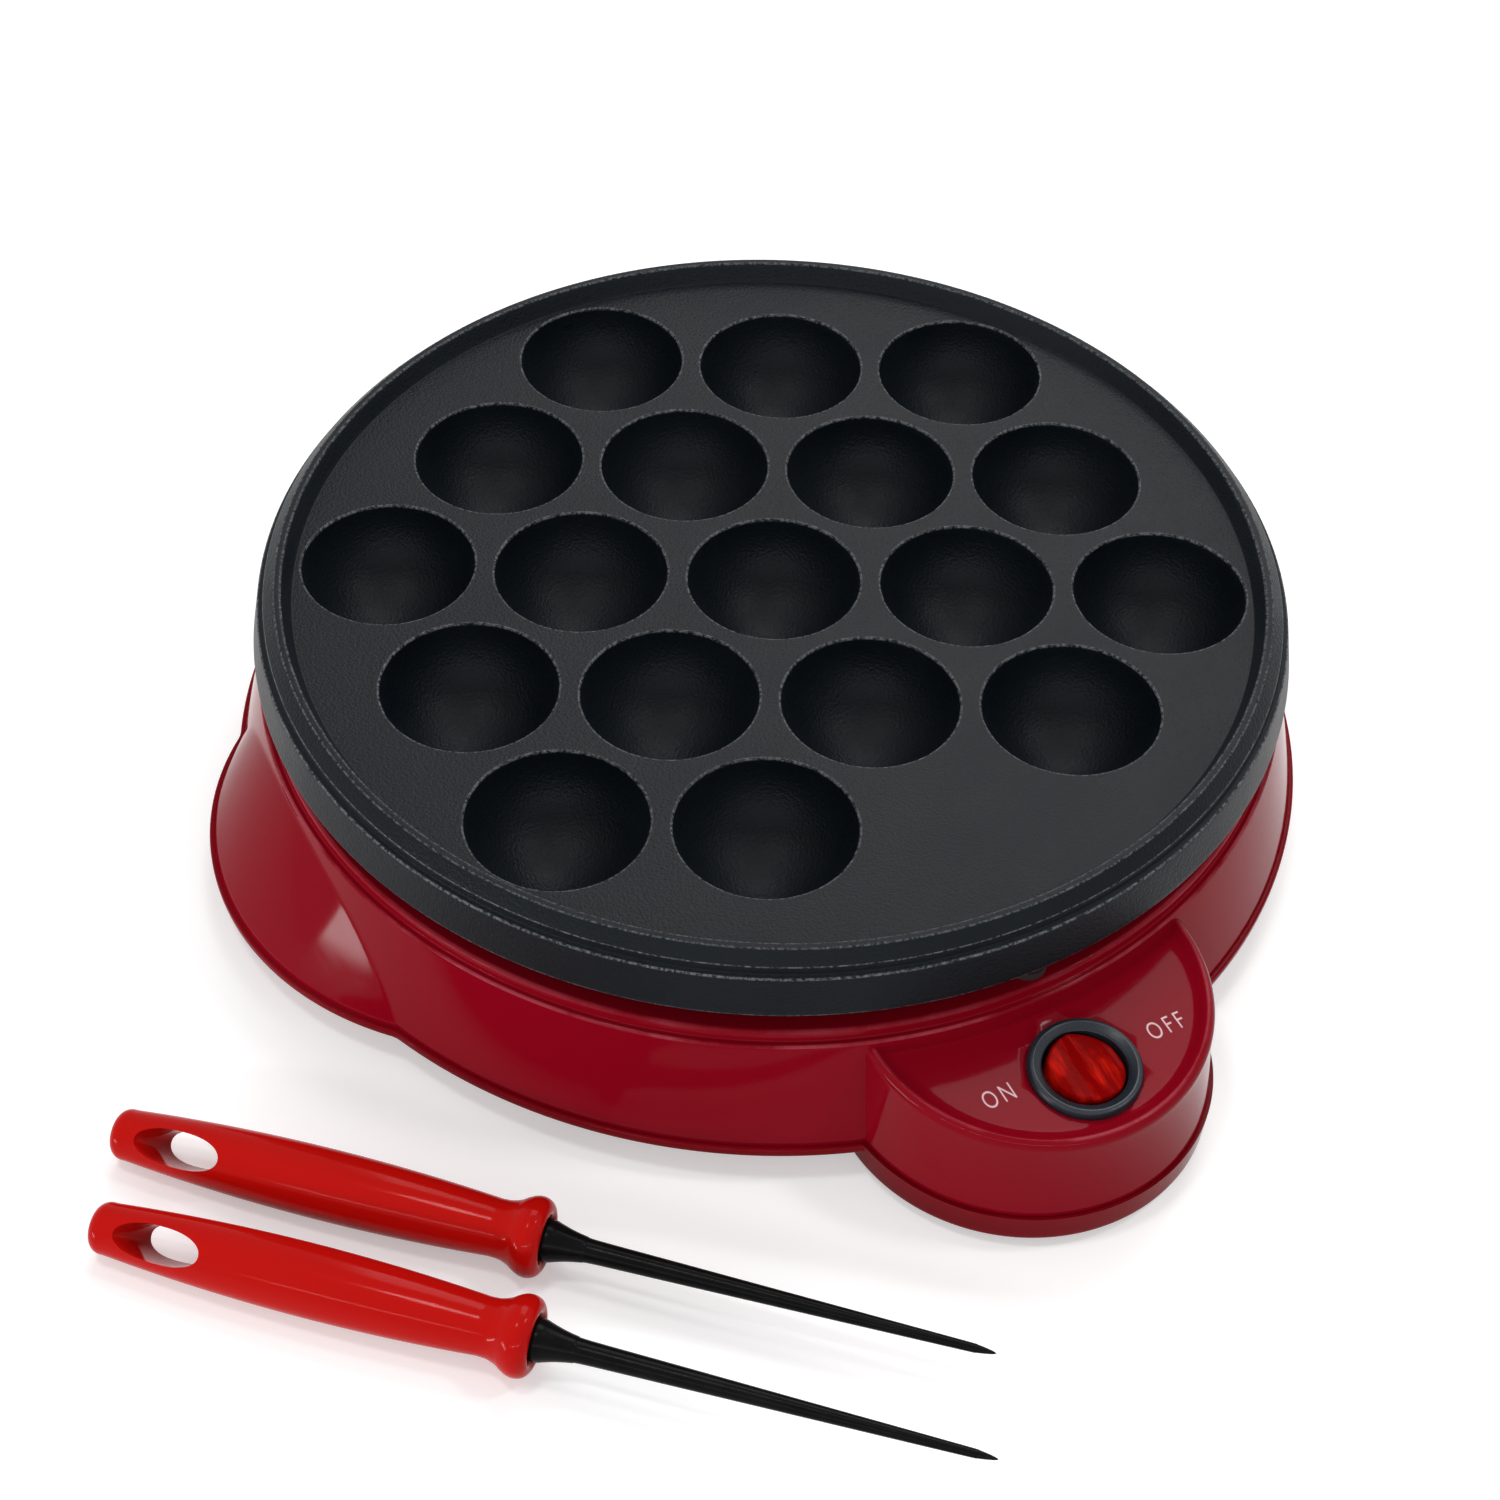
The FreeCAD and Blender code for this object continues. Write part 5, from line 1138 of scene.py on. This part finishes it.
# ---- Cooking plate ----
@dataclass
class CookingPlate(Maker):
    """The coated cast plate: skirt, ledge, raised lip and eighteen round cavities."""

    radius: float = 120.0
    deck: float = 55.7
    under: float = 51.7
    low: float = 45.0
    pitch: float = 44.5
    cavity: float = 19.9
    mouth: float = 0.3
    ring: float = 0.95
    back: float = 22.1
    lip_foot: float = 110.0
    inside: float = 113.4
    boss_circle: float = 112.5
    columns: int = 360
    mouth_columns: int = 72
    back_columns: int = 48

    def centres(self) -> Array:
        """The cavities' places: the centre, a ring of six, and eleven of the twelve round them.

        Returns:
            Rows of x and y.
        """
        rings = (
            (0, (0,)),
            (1, range(30, 360, 60)),
            (math.sqrt(3), range(0, 360, 60)),
            (2, range(-30, 240, 60)),
        )
        return np.concatenate([around(self.pitch * reach, bearings) for reach, bearings in rings])

    def rim_profile(self) -> Array:
        """The profile from the deck over the lip and the ledge, down the skirt and in to the underside.

        Returns:
            Rows of radius and height.
        """
        return closer(rounded([
            (self.lip_foot, self.deck, 0),
            (110.4, self.deck, 0.3),
            (112.5, 60.1, 0.7),
            (114.1, 60.1, 0.7),
            (116.75, 57.25, 0.6),
            (116.95, 55.35, 0.35),
            (118.25, 55.2, 0.55),
            (self.radius, self.low, 0.7),
            (116.8, self.low, 0.5),
            (115.0, self.under, 1.2),
            (self.inside, self.under, 0),
        ]), 1.2)

    def hollow_profile(self) -> Array:
        """The profile of a cavity: a circle about its mouth's middle, then the mouth's soft edge.

        Returns:
            Rows of radius and height.
        """
        depth = np.radians(np.linspace(0, 88.0, 18))
        bowl = np.stack([self.cavity * np.sin(depth), self.deck - self.cavity * np.cos(depth)], axis=1)
        edge = rounded([
            (*bowl[-1], 0),
            (self.cavity + 0.02, self.deck - 0.25, 0.15),
            (self.cavity + self.mouth, self.deck, 0.25),
            (self.cavity + self.ring * 0.7, self.deck, 0),
            (self.cavity + self.ring, self.deck, 0),
        ], 4)
        return np.concatenate([bowl, edge[1:]])

    def make_casting(self) -> None:
        """The plate as one closed skin: rim, deck, cavities, and the underside with their round backs."""
        skin = Skin()
        skin.grid(revolve(self.rim_profile(), self.columns))
        hollow = self.hollow_profile()
        back = rounded([
            (0.0, 33.6, 0),
            (10.2, 33.6, 7.0),
            (19.4, 42.6, 12.0),
            (self.back, 50.2, 1.0),
            (self.back, self.under, 0),
        ], 6)
        mouths, backs = [], []
        for x, y in self.centres():
            skin.grid(revolve(hollow, self.mouth_columns, x, y))
            skin.grid(revolve(back, self.back_columns, x, y))
            mouths.append(circle(self.cavity + self.ring, self.mouth_columns, x, y))
            backs.append(circle(self.back, self.back_columns, x, y))
        skin.flat([circle(self.lip_foot, self.columns), *mouths], self.deck)
        skin.flat([circle(self.inside, self.columns), *backs], self.under)
        self.finish(skin.mesh("cast_plate", 40.0), "coated_cast", Body.BASE, ["cooking_plate"])

    def make_studs(self) -> None:
        """The posts under the plate, for its own screws, the element's clips and the thermostat."""
        skin = Skin()
        for reach, bearings, low, radius in (
            (self.boss_circle, (0, 90, 180, 270), 39.5, 4.2),
            (self.pitch * 2 / math.sqrt(3), (0, 120, 240), 26.1, 3.0),
            (self.pitch / math.sqrt(3), (0, 180), 29.4, 3.0),
        ):
            top = self.under + 1
            post = rounded([(0, low, 0), (radius, low, 0.4), (radius, top, 0), (0, top, 0)], 3)
            for x, y in around(reach, bearings):
                skin.grid(revolve(post, 40, x, y))
        self.finish(skin.mesh("plate_studs"), "coated_cast", Body.BASE)

    def make(self) -> None:
        """Builds the plate."""
        self.make_casting()
        self.make_studs()


# ---- Switch ----
@dataclass
class Switch(Maker):
    """The round rocker switch: bezel, case and red rocker with two finger scoops."""

    panel: Panel = field(default_factory=Panel)
    bezel_radius: float = 12.4
    case_radius: float = 10.1
    case_top: float = -4.0
    bore: float = 9.2
    pivot: float = -2.5
    tilt: float = 8.0
    pad: float = 8.5
    swing: float = 8.8
    scoop: float = 17.0
    scoop_side: float = 6.2
    scoop_height: float = 20.4
    ridge_round: float = 0.35
    edge_round: float = 0.55
    depth: float = -2.6
    pin_radius: float = 1.2
    pin_reach: float = 9.9

    def make_bezel(self) -> None:
        """The dished ring on the panel, turned about the switch's axis."""
        profile = rounded([
            (self.bore, self.case_top, 0),
            (self.bore, 1.0, 0.35),
            (self.bore + 0.55, 1.35, 0.3),
            (11.0, 2.0, 0.7),
            (11.9, 1.85, 0.5),
            (self.bezel_radius, 0.9, 0.5),
            (self.bezel_radius, 0.02, 0),
            (self.case_radius, 0.02, 0),
            (self.case_radius, self.case_top, 0),
            (self.bore, self.case_top, 0),
        ])
        skin = Skin()
        skin.grid(place(revolve(profile, 144), self.panel.switch()))
        self.finish(skin.mesh("switch_bezel", 40.0), "bezel_black", Body.BASE, ["switch_housing"])
        spot = self.panel.switch() @ Vector((0, 0, self.case_top))
        normal = self.panel.switch().to_3x3() @ Vector((0, 0, 1))
        case = self.lower_part("switch_housing", "switch_case", spot * MM, normal)
        self.finish(case, "bezel_black", Body.BASE)

    def top(self, x: Array) -> Array:
        """The rocker's top: the lowest of two round scoops and the swing's own circle, all along Y.

        Args:
            x: The distance from the pivot's axis.

        Returns:
            The height above that axis.
        """
        right = self.scoop_height - np.sqrt(self.scoop**2 - (x - self.scoop_side)**2)
        left = self.scoop_height - np.sqrt(self.scoop**2 - (x + self.scoop_side)**2)
        ends = np.sqrt(np.maximum(self.swing**2 - x**2, 0))
        return -soft_max(soft_max(-right, -left, self.ridge_round), -ends, 0.5)

    def make_rocker(self) -> None:
        """The rocker as a closed skin: a polar grid over its top, a rounded edge, side and underside."""
        inner = np.linspace(0, self.pad - self.edge_round, 22)
        bend = np.radians(np.linspace(0, 90, 7))[1:]
        outer = self.pad - self.edge_round + self.edge_round * np.sin(bend)
        radius = np.concatenate([inner, outer, [self.pad] * 3, [0.0]])[:, None]
        angle = np.linspace(0, FULL, 120, endpoint=False)
        x = radius * np.cos(angle)
        height = self.top(x)
        height[len(inner):-4] -= self.edge_round * (1 - np.cos(bend))[:, None]
        share = np.array([0.34, 0.67, 1.0, 1.0])[:, None]
        height[-4:] = height[-5] * (1 - share) + self.depth * share
        tip = Matrix.Rotation(math.radians(self.tilt), 4, "Y")
        seat = self.panel.switch() @ Matrix.Translation((0, 0, self.pivot)) @ tip
        skin = Skin()
        skin.grid(place(places(x, radius * np.sin(angle), height), seat))
        reach, thick = self.pin_reach, self.pin_radius
        pin = rounded([(0, -reach, 0), (thick, -reach, 0.2), (thick, reach, 0.2), (0, reach, 0)], 2)
        skin.grid(place(revolve(pin, 24), seat @ Matrix.Rotation(math.radians(90), 4, "X")))
        self.finish(skin.mesh("rocker_cap", 50.0), "rocker_red", Body.ROCKER, ["switch_rocker"])

    def make(self) -> None:
        """Builds the switch."""
        self.make_bezel()
        self.make_rocker()


# ---- Picks ----
@dataclass
class Pick(Maker):
    """One turning pick: a red moulded handle with a hanging hole, and a black spike."""

    number: int = 0
    back: tuple[float, float, float] = (-180.8, -40.2, 4.05)
    step: tuple[float, float] = (-12.2, -20.5)
    yaw: float = -44.9
    pitch: float = -1.4
    roll: float = 38.0
    length: float = 97.5
    belly: float = 7.6
    belly_place: float = 48.0
    arcs: tuple[float, float] = (483.2, 494.8)
    slot_end: float = 26.0
    slot_rows: tuple = ((4.4, 8.2, 10.5), (5.8, 7.8, 7.6), (10.8, 7.2, -7.6), (12.6, 7.1, -10.5))

    @property
    def body(self) -> Body:
        """The body that this pick is."""
        return (Body.PICK_1, Body.PICK_2)[self.number]

    def seat(self) -> Matrix:
        """The move and turn from the handle's own axis, along X, to where it lies on the table.

        Returns:
            The matrix, in millimetres.
        """
        x, y, z = self.back
        turn = Matrix.Translation((x + self.step[0] * self.number, y + self.step[1] * self.number, z))
        for angle, axis in ((self.yaw, "Z"), (self.pitch, "Y"), (self.roll, "X")):
            turn = turn @ Matrix.Rotation(math.radians(angle), 4, axis)
        return turn

    def along(self, profile: Array, columns: int) -> Array:
        """A profile of place and radius carried round the handle's axis."""
        grid = revolve(profile[:, ::-1], columns)
        return place(grid[..., [2, 0, 1]], self.seat())

    def handle_profile(self) -> Array:
        """The handle's outline: two long arcs that meet at the belly, then the flared collar.

        Returns:
            Rows of place along the axis and radius.
        """
        back = rounded([(0.0, 0.0, 0), (0.0, 5.42, 2.9), (6.0, 5.75, 0)], 8)[:-1]
        x = np.concatenate([np.linspace(4.0, self.belly_place, 22), np.linspace(49.5, 86.0, 20)])
        arc = np.where(x < self.belly_place, *self.arcs)
        grip = np.stack([x, self.belly - arc + np.sqrt(arc**2 - (x - self.belly_place)**2)], axis=1)
        collar = spline([
            (86.0, 6.12), (88.4, 6.3), (90.4, 6.95), (91.9, 7.85), (93.4, 8.5), (94.9, 8.62), (96.3, 8.15),
            (97.2, 7.2), (97.45, 6.2), (97.1, 5.4), (96.2, 4.9), (95.6, 4.7),
        ], 5)[1:]
        return np.concatenate([back, grip, collar, [[95.6, 0.0]]])

    def slot_tool(self) -> bpy.types.Object:
        """The hanging hole's tool: ovals lofted from above the handle to below it.

        An oval's x and y are the cosine and the sine of its angle, each raised to a power under one.

        Returns:
            A closed object round what the hole takes away.
        """
        angle = np.linspace(0, FULL, 72, endpoint=False)
        ahead = np.sign(np.cos(angle)) * np.abs(np.cos(angle))**0.85
        aside = np.sign(np.sin(angle)) * np.abs(np.sin(angle))**0.93
        start, width, height = np.array(self.slot_rows).T[..., None]
        middle, half = (self.slot_end + start) / 2, (self.slot_end - start) / 2
        grid = places(middle + half * ahead, width / 2 * aside, height)
        above, below = (np.broadcast_to(row.mean(axis=0), (1, *row.shape)) for row in grid[[0, -1]])
        skin = Skin()
        skin.grid(place(np.concatenate([above, grid, below]), self.seat()))
        return skin.mesh("slot_tool")

    def make_handle(self) -> None:
        """The handle, with its hanging hole cut and the hole's edge rounded."""
        skin = Skin()
        skin.grid(self.along(self.handle_profile(), 96))
        handle = skin.mesh(f"{self.body.value}_grip", 40.0)
        cut_out(handle, self.slot_tool())
        soften(handle, 0.8, 4, 32.0)
        self.finish(handle, "handle_red", self.body, [f"{self.body.value}_handle"])

    def make_spike(self) -> None:
        """The spike, which tapers from the collar to its point."""
        outline = spline([
            (-1.8, 4.55), (0.8, 4.5), (2.4, 4.05), (5.0, 3.35), (8.0, 2.8), (11.0, 2.5),
            (30.0, 2.14), (60.0, 1.56), (88.0, 1.02), (91.5, 0.86), (94.4, 0.42), (95.4, 0.12),
        ], 5)
        outline = np.concatenate([[[-1.8, 0.0]], outline, [[95.5, 0.0]]]) + (self.length, 0.0)
        skin = Skin()
        skin.grid(self.along(outline, 48))
        needle = skin.mesh(f"{self.body.value}_needle", 50.0)
        self.finish(needle, "spike_black", self.body, [f"{self.body.value}_spike"])

    def make(self) -> None:
        """Builds the handle and the spike."""
        self.make_handle()
        self.make_spike()


# ---- Tray, feet, gland and screws ----
@dataclass
class Underside(Maker):
    """The tray with its lip and vents, the rubber feet, the cord's gland and the screws that close it."""

    lip_low: float = 6.0
    top: float = 8.0
    floor: float = 2.0
    grip_x: float = 68.1
    grip_y: float = 2.3
    lobe_y: float = -115.0
    grip_less: float = 57.3
    grip_behind: float = 60.0
    dish_flat: float = 116.5
    dish_round: float = 9.0
    lobe_flat: float = 40.85
    lobe_edge: float = 1.4
    lobe_wall: float = 42.0
    lobe_inside: float = 39.3
    inner_rows: int = 3
    crease: float = 0.5
    side_columns: tuple = (130, 110, 150, 150, 150, 110)
    vents: int = 12
    boss_circle: float = 113.5
    foot_circle: float = 98.0
    gland_height: float = 16.5

    def rows(self) -> Array:
        """The tray's profile rows, from under its floor over the lip to inside.

        The dish's side is part of a circle, stretched to end at the lip. The lobe's is part of a circle too,
        pressed flatter, and above it a straight slope.

        Returns:
            Rows of height, and of the reach there of the round dish, of the grips' and of the lobe's.
        """
        bend = np.radians(np.linspace(8, 66, 10))
        turn = self.dish_round
        dish = np.stack([turn * (1 - np.cos(bend)), self.dish_flat + turn * np.sin(bend)], axis=1)
        dish[:, 0] *= self.lip_low / dish[-1, 0]
        lip = rounded([
            (self.lip_low, 124.7, 0),
            (self.lip_low, 126.9, 0.35),
            (self.top, 126.9, 0.5),
            (self.top, 123.7, 0.3),
            (self.lip_low, 123.7, 0.0),
            (self.floor, 114.9, 0.0),
        ], 4)
        low, reach = np.concatenate([[[0.0, 116.98]], dish[1:], lip[1:]]).T
        edge = self.lobe_edge
        curve = np.sqrt(np.maximum(edge**2 - (edge - low)**2, 0))
        lobe = np.where(low < edge, self.lobe_flat + curve * 0.82, self.lobe_wall + (low - edge) * 0.045)
        lobe[-self.inner_rows:] = self.lobe_inside
        return np.stack([low, reach, reach - self.grip_less, lobe], axis=1)

    def outline(self, rows: Array) -> Array:
        """The tray's side: in each row the reach of four circles together, with columns along their creases.

        With p the distance of a circle's centre along a bearing, its far side lies at p plus the root of
        p squared plus its radius squared less its centre's distance squared.

        Args:
            rows: The profile rows.

        Returns:
            The grid of points.
        """
        low, dish_reach, grip_reach, lobe_reach = (rows[:, i:i + 1] for i in range(4))
        bearing = math.atan2(self.grip_y, self.grip_x)
        grip = crossing(dish_reach, math.hypot(self.grip_x, self.grip_y), grip_reach)
        lobe = crossing(dish_reach, -self.lobe_y, lobe_reach)
        front = -math.pi / 2
        knots = (
            front - lobe, front + lobe, bearing - grip, bearing + grip,
            math.pi - bearing - grip, math.pi - bearing + grip, front + FULL - lobe,
        )
        angle = eased(knots, self.side_columns)
        reach = np.broadcast_to(dish_reach, angle.shape)
        for x, y, radius in (
            (self.grip_x, self.grip_y, grip_reach),
            (-self.grip_x, self.grip_y, grip_reach),
            (0, self.lobe_y, lobe_reach),
        ):
            along = x * np.cos(angle) + y * np.sin(angle)
            inner = along**2 + radius**2 - x * x - y * y
            ahead = (inner > 0) & (along > -self.grip_behind)
            far = np.where(ahead, along + np.sqrt(np.maximum(inner, 0)), 0.0)
            reach = soft_max(reach, far, self.crease)
        return upright(reach, angle, low)

    def vent(self, turn: float, grow: float) -> Array:
        """One vent's outline: a bar with eased corners, turned about the plate's axis.

        Args:
            turn: Its angle about the axis.
            grow: How far it is widened on every side.

        Returns:
            Rows of x and y.
        """
        near, far, side = 48.0 - grow, 70.0 + grow, 1.5 + grow
        start = (59.0, -side, 0.0)
        corners = [(x, y, 0.6) for x, y in ((far, -side), (far, side), (near, side), (near, -side))]
        loop = rounded([start, *corners, start], 3)[:-1]
        cosine, sine = math.cos(turn), math.sin(turn)
        return loop @ np.array([[cosine, sine], [-sine, cosine]])

    def make_tray(self) -> None:
        """The tray as one closed skin: outside, lip, inside, vents through its floor and screw recesses."""
        skin = Skin()
        walls = self.outline(self.rows())
        skin.grid(walls)
        under, over = [walls[0, :, :2]], [walls[-1, :, :2]]
        levels = ((0.35, 0.0), (0.1, 0.1), (0.0, 0.35), (0.0, self.floor))
        for turn in np.linspace(0, FULL, self.vents, endpoint=False):
            grid = np.stack([np.insert(self.vent(turn, grow), 2, level, axis=1) for grow, level in levels])
            skin.grid(grid)
            under.append(grid[0, :, :2])
            over.append(grid[-1, :, :2])
        recess = rounded([(3.6, 0.0, 0), (3.4, 0.2, 0.1), (3.4, 2.25, 0.2), (0.0, 2.25, 0)], 3)
        for x, y in around(self.boss_circle, DIAGONALS):
            grid = revolve(recess, 40, x, y)
            skin.grid(grid)
            under.append(grid[0, :, :2])
        skin.flat(under, 0.0)
        skin.flat(over, self.floor)
        self.finish(skin.mesh("tray_dish", 30.0), "tray_red", Body.BASE, ["bottom_tray"])

    def make_feet(self) -> None:
        """Four rubber feet: a tapered pad, a stem and its barb."""
        profile = rounded([
            (0.0, -2.5, 0), (6.6, -2.5, 0.5), (7.45, -0.05, 0.2), (2.5, -0.05, 0),
            (2.5, 2.0, 0), (3.3, 2.05, 0.2), (1.9, 3.8, 0.3), (0.0, 3.8, 0),
        ], 4)
        skin = Skin()
        for x, y in around(self.foot_circle, DIAGONALS):
            skin.grid(revolve(profile, 48, x, y))
        self.finish(skin.mesh("foot_pads"), "rubber_black", Body.BASE, ["rubber_feet"])

    def make_gland(self) -> None:
        """The cord's bushing, turned about an axis along Y."""
        profile = rounded([
            (3.5, 115.0, 0), (5.2, 115.0, 0.3), (5.2, 117.6, 0), (6.1, 117.7, 0.3),
            (6.1, 119.6, 0.2), (5.2, 119.6, 0), (5.2, 126.8, 0), (7.4, 126.82, 0.2),
            (7.4, 128.8, 0.8), (3.5, 128.8, 0.9), (3.5, 115.0, 0),
        ])
        skin = Skin()
        skin.grid(place(revolve(profile, 72), backward(self.gland_height)))
        self.finish(skin.mesh("gland_bush"), "plastic_black", Body.BASE, ["cord_gland"])

    def screw_head(self) -> Array:
        """A pan head's face: a disc with a rounded edge and a cross recess.

        The recess is deep where the nearer of the x and y axes is close, and runs out short of the edge.

        Returns:
            The grid of points about the screw's axis.
        """
        bend = np.radians([20, 45, 70, 90])
        radius = np.concatenate([np.linspace(0, 2.3, 16), 2.3 + 0.8 * np.sin(bend)])[:, None]
        angle = np.linspace(0, FULL, 64, endpoint=False)
        x, y = radius * np.cos(angle), radius * np.sin(angle)
        arm = np.minimum(np.abs(x), np.abs(y))
        depth = np.clip((0.42 - arm) / 0.16, 0, 1) * np.clip((1.75 - np.hypot(x, y)) / 0.3, 0, 1)
        height = 0.05 + depth * 0.9
        height[-len(bend):] += 0.8 * (1 - np.cos(bend))[:, None]
        return places(x, y, height)

    def make_screws(self) -> None:
        """The four tray screws: a pan head, and a shank whose thread is a cosine of the way along."""
        way = np.arange(0, 13.5, 0.25)
        ridge = 1.36 + 0.12 * np.cos(way * FULL / 0.75)
        thread = np.stack([ridge, 2.4 + way], axis=1)
        shank = np.concatenate([[[3.1, 2.2], [1.45, 2.2]], thread, [[0.7, 18.0], [0.0, 18.2]]])
        skin = Skin()
        for x, y in around(self.boss_circle, DIAGONALS):
            head = self.screw_head() + (x, y, 0.0)
            skin.grid(head)
            skin.grid(np.concatenate([head[-1:], revolve(shank, 64, x, y)]))
        self.finish(skin.mesh("tray_screws"), "steel", Body.BASE, ["housing_screws"])

    def make(self) -> None:
        """Builds the underside."""
        self.make_tray()
        self.make_feet()
        self.make_gland()
        self.make_screws()


@dataclass
class InnerWorks(Maker):
    """The parts inside, which keep their CAD shapes and get their finishes."""

    slots: dict[str, tuple[str, ...]] = field(default_factory=lambda: {
        "steel": (
            "plate_screws", "element_pins", "element_clips", "clip_screws", "thermostat_bracket",
            "bracket_screws", "thermal_fuse", "fuse_clamp", "clamp_screw", "earth_screw",
        ),
        "brass": ("thermostat_tabs", "terminal_screws", "switch_tabs", "contact_lever"),
        "spacer_mica": ("plate_spacers",),
        "pan_aluminium": ("reflector_pan",),
        "element_steel": ("heating_element",),
        "ceramic": ("element_insulators",),
        "plastic_black": ("thermostat",),
        "plastic_cream": ("terminal_block", "switch_plunger"),
        "sleeve_white": ("fuse_sleeve", "heater_lead", "fuse_lead"),
        "lead_brown": ("live_lead", "switched_lead"),
        "lead_blue": ("neutral_lead", "lamp_lead"),
        "lead_green": ("earth_lead",),
        "lamp_glass": ("switch_lamp",),
    })

    def make(self) -> None:
        """Dresses each node."""
        for slot, nodes in self.slots.items():
            for node in nodes:
                self.finishes.dress(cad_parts[node], slot)
                LOG.info("%s keeps its shape, finish %s", node, slot)


# ---- Studio ----
@dataclass
class Studio:
    """The pale floor, the soft light and the camera."""

    table: float = -0.0025
    camera_place: tuple[float, float, float] = (-0.248486, -0.422277, 0.516917)
    bearing: float = -30.0
    elevation: float = 46.669
    roll: float = 2.124
    lens: float = 69.904
    floor_glow: float = 0.38
    sky: float = 0.42
    lamps: tuple = (
        ("broad_box", (0.66, 0.73, 1.26), (0.0, 0.0, 0.03), 0.9, 0.9, 12.0),
        ("overhead", (-0.41, -0.04, 1.48), (0.0, -0.05, 0.03), 0.2, 0.2, 3.5),
        ("right_box", (0.7, -0.43, 1.32), (0.0, -0.05, 0.03), 0.2, 0.2, 3.5),
        ("low_left", (-1.1, -0.06, 0.075), (-0.12, -0.03, 0.02), 0.4, 0.08, 3.5),
        ("front_strip", (-0.62, -1.05, 0.55), (0.0, 0.0, 0.03), 1.8, 0.03, 4.0),
    )

    def make_camera(self) -> None:
        """The camera, from a place, a bearing, an elevation and a roll."""
        data = bpy.data.cameras.new("camera")
        data.lens = self.lens
        data.sensor_width = 36.0
        data.clip_start = 0.01
        data.clip_end = 50.0
        camera = link("camera", data)
        turn = Matrix.Rotation(math.radians(self.bearing), 4, "Z")
        turn = turn @ Matrix.Rotation(math.radians(90 - self.elevation), 4, "X")
        turn = turn @ Matrix.Rotation(math.radians(self.roll), 4, "Z")
        camera.matrix_world = Matrix.Translation(self.camera_place) @ turn
        bpy.context.scene.camera = camera

    @staticmethod
    def seen(tree: Tree) -> Socket:
        """1 for what the camera sees, also in a reflection or through glass, and 0 for light on the object.

        Args:
            tree: The tree of a material or of the world.

        Returns:
            The mask.
        """
        path = tree.add("LightPath").outputs
        direct = tree.math("MAXIMUM", path["Is Camera Ray"], path["Is Glossy Ray"])
        return tree.math("MAXIMUM", direct, path["Is Transmission Ray"])

    def make_floor(self) -> None:
        """A wide pale disc under the feet that shows white to the camera and still takes a shadow."""
        skin = Skin()
        level = self.table / MM - 0.02
        skin.grid(revolve(np.array([[radius, level] for radius in (0.0, 300.0, 1200.0, 6000.0)]), 96))
        floor = skin.mesh("floor")
        made = bpy.data.materials.new("floor_white")
        made.use_nodes = True
        made.node_tree.nodes.clear()
        tree = Tree(made.node_tree)
        where = tree.add("TexCoord").outputs["Object"]
        tone = tree.mix(tree.noise(where, 3.0), (0.8, 0.8, 0.8, 1), (0.83, 0.83, 0.83, 1))
        paint = tree.add("BsdfPrincipled", {
            "Base Color": tone,
            "Roughness": 0.9,
            "Specular IOR Level": 0.1,
            "Emission Color": (1, 1, 1, 1),
            "Emission Strength": tree.math("MULTIPLY", self.seen(tree), self.floor_glow),
        })
        output = tree.add("OutputMaterial")
        made.node_tree.links.new(paint.outputs[0], output.inputs["Surface"])
        floor.data.materials.append(made)

    def make_light(self) -> None:
        """A plain pale world and soft lamps."""
        world = bpy.data.worlds.new("studio")
        bpy.context.scene.world = world
        world.use_nodes = True
        world.node_tree.nodes.clear()
        tree = Tree(world.node_tree)
        strength = tree.span(self.seen(tree), 0.0, 1.0, self.sky, 1.0)
        sky = tree.add("Background", {"Color": (1, 1, 1, 1), "Strength": strength})
        output = tree.add("OutputWorld")
        world.node_tree.links.new(sky.outputs[0], output.inputs["Surface"])
        for name, where, target, width, height, power in self.lamps:
            data = bpy.data.lights.new(name, "AREA")
            data.shape = "RECTANGLE"
            data.size = width
            data.size_y = height
            data.energy = power
            lamp = link(name, data)
            lamp.location = where
            aim = Vector(target) - Vector(where)
            lamp.rotation_euler = aim.to_track_quat("-Z", "Y").to_euler()

    def make(self) -> None:
        """Sets the whole studio."""
        self.make_camera()
        self.make_floor()
        self.make_light()
        bpy.context.scene.view_settings.view_transform = "Standard"


def main() -> None:
    """Builds every sub-assembly in order."""
    logging.basicConfig(level=logging.INFO, format="%(message)s", stream=sys.stdout)
    Studio().make()
    finishes = Finishes()
    for maker in (
        UpperHousing(finishes),
        CookingPlate(finishes),
        Switch(finishes),
        Pick(finishes, 0),
        Pick(finishes, 1),
        Underside(finishes),
        InnerWorks(finishes),
    ):
        maker.make()


if __name__ == "__main__":
    main()
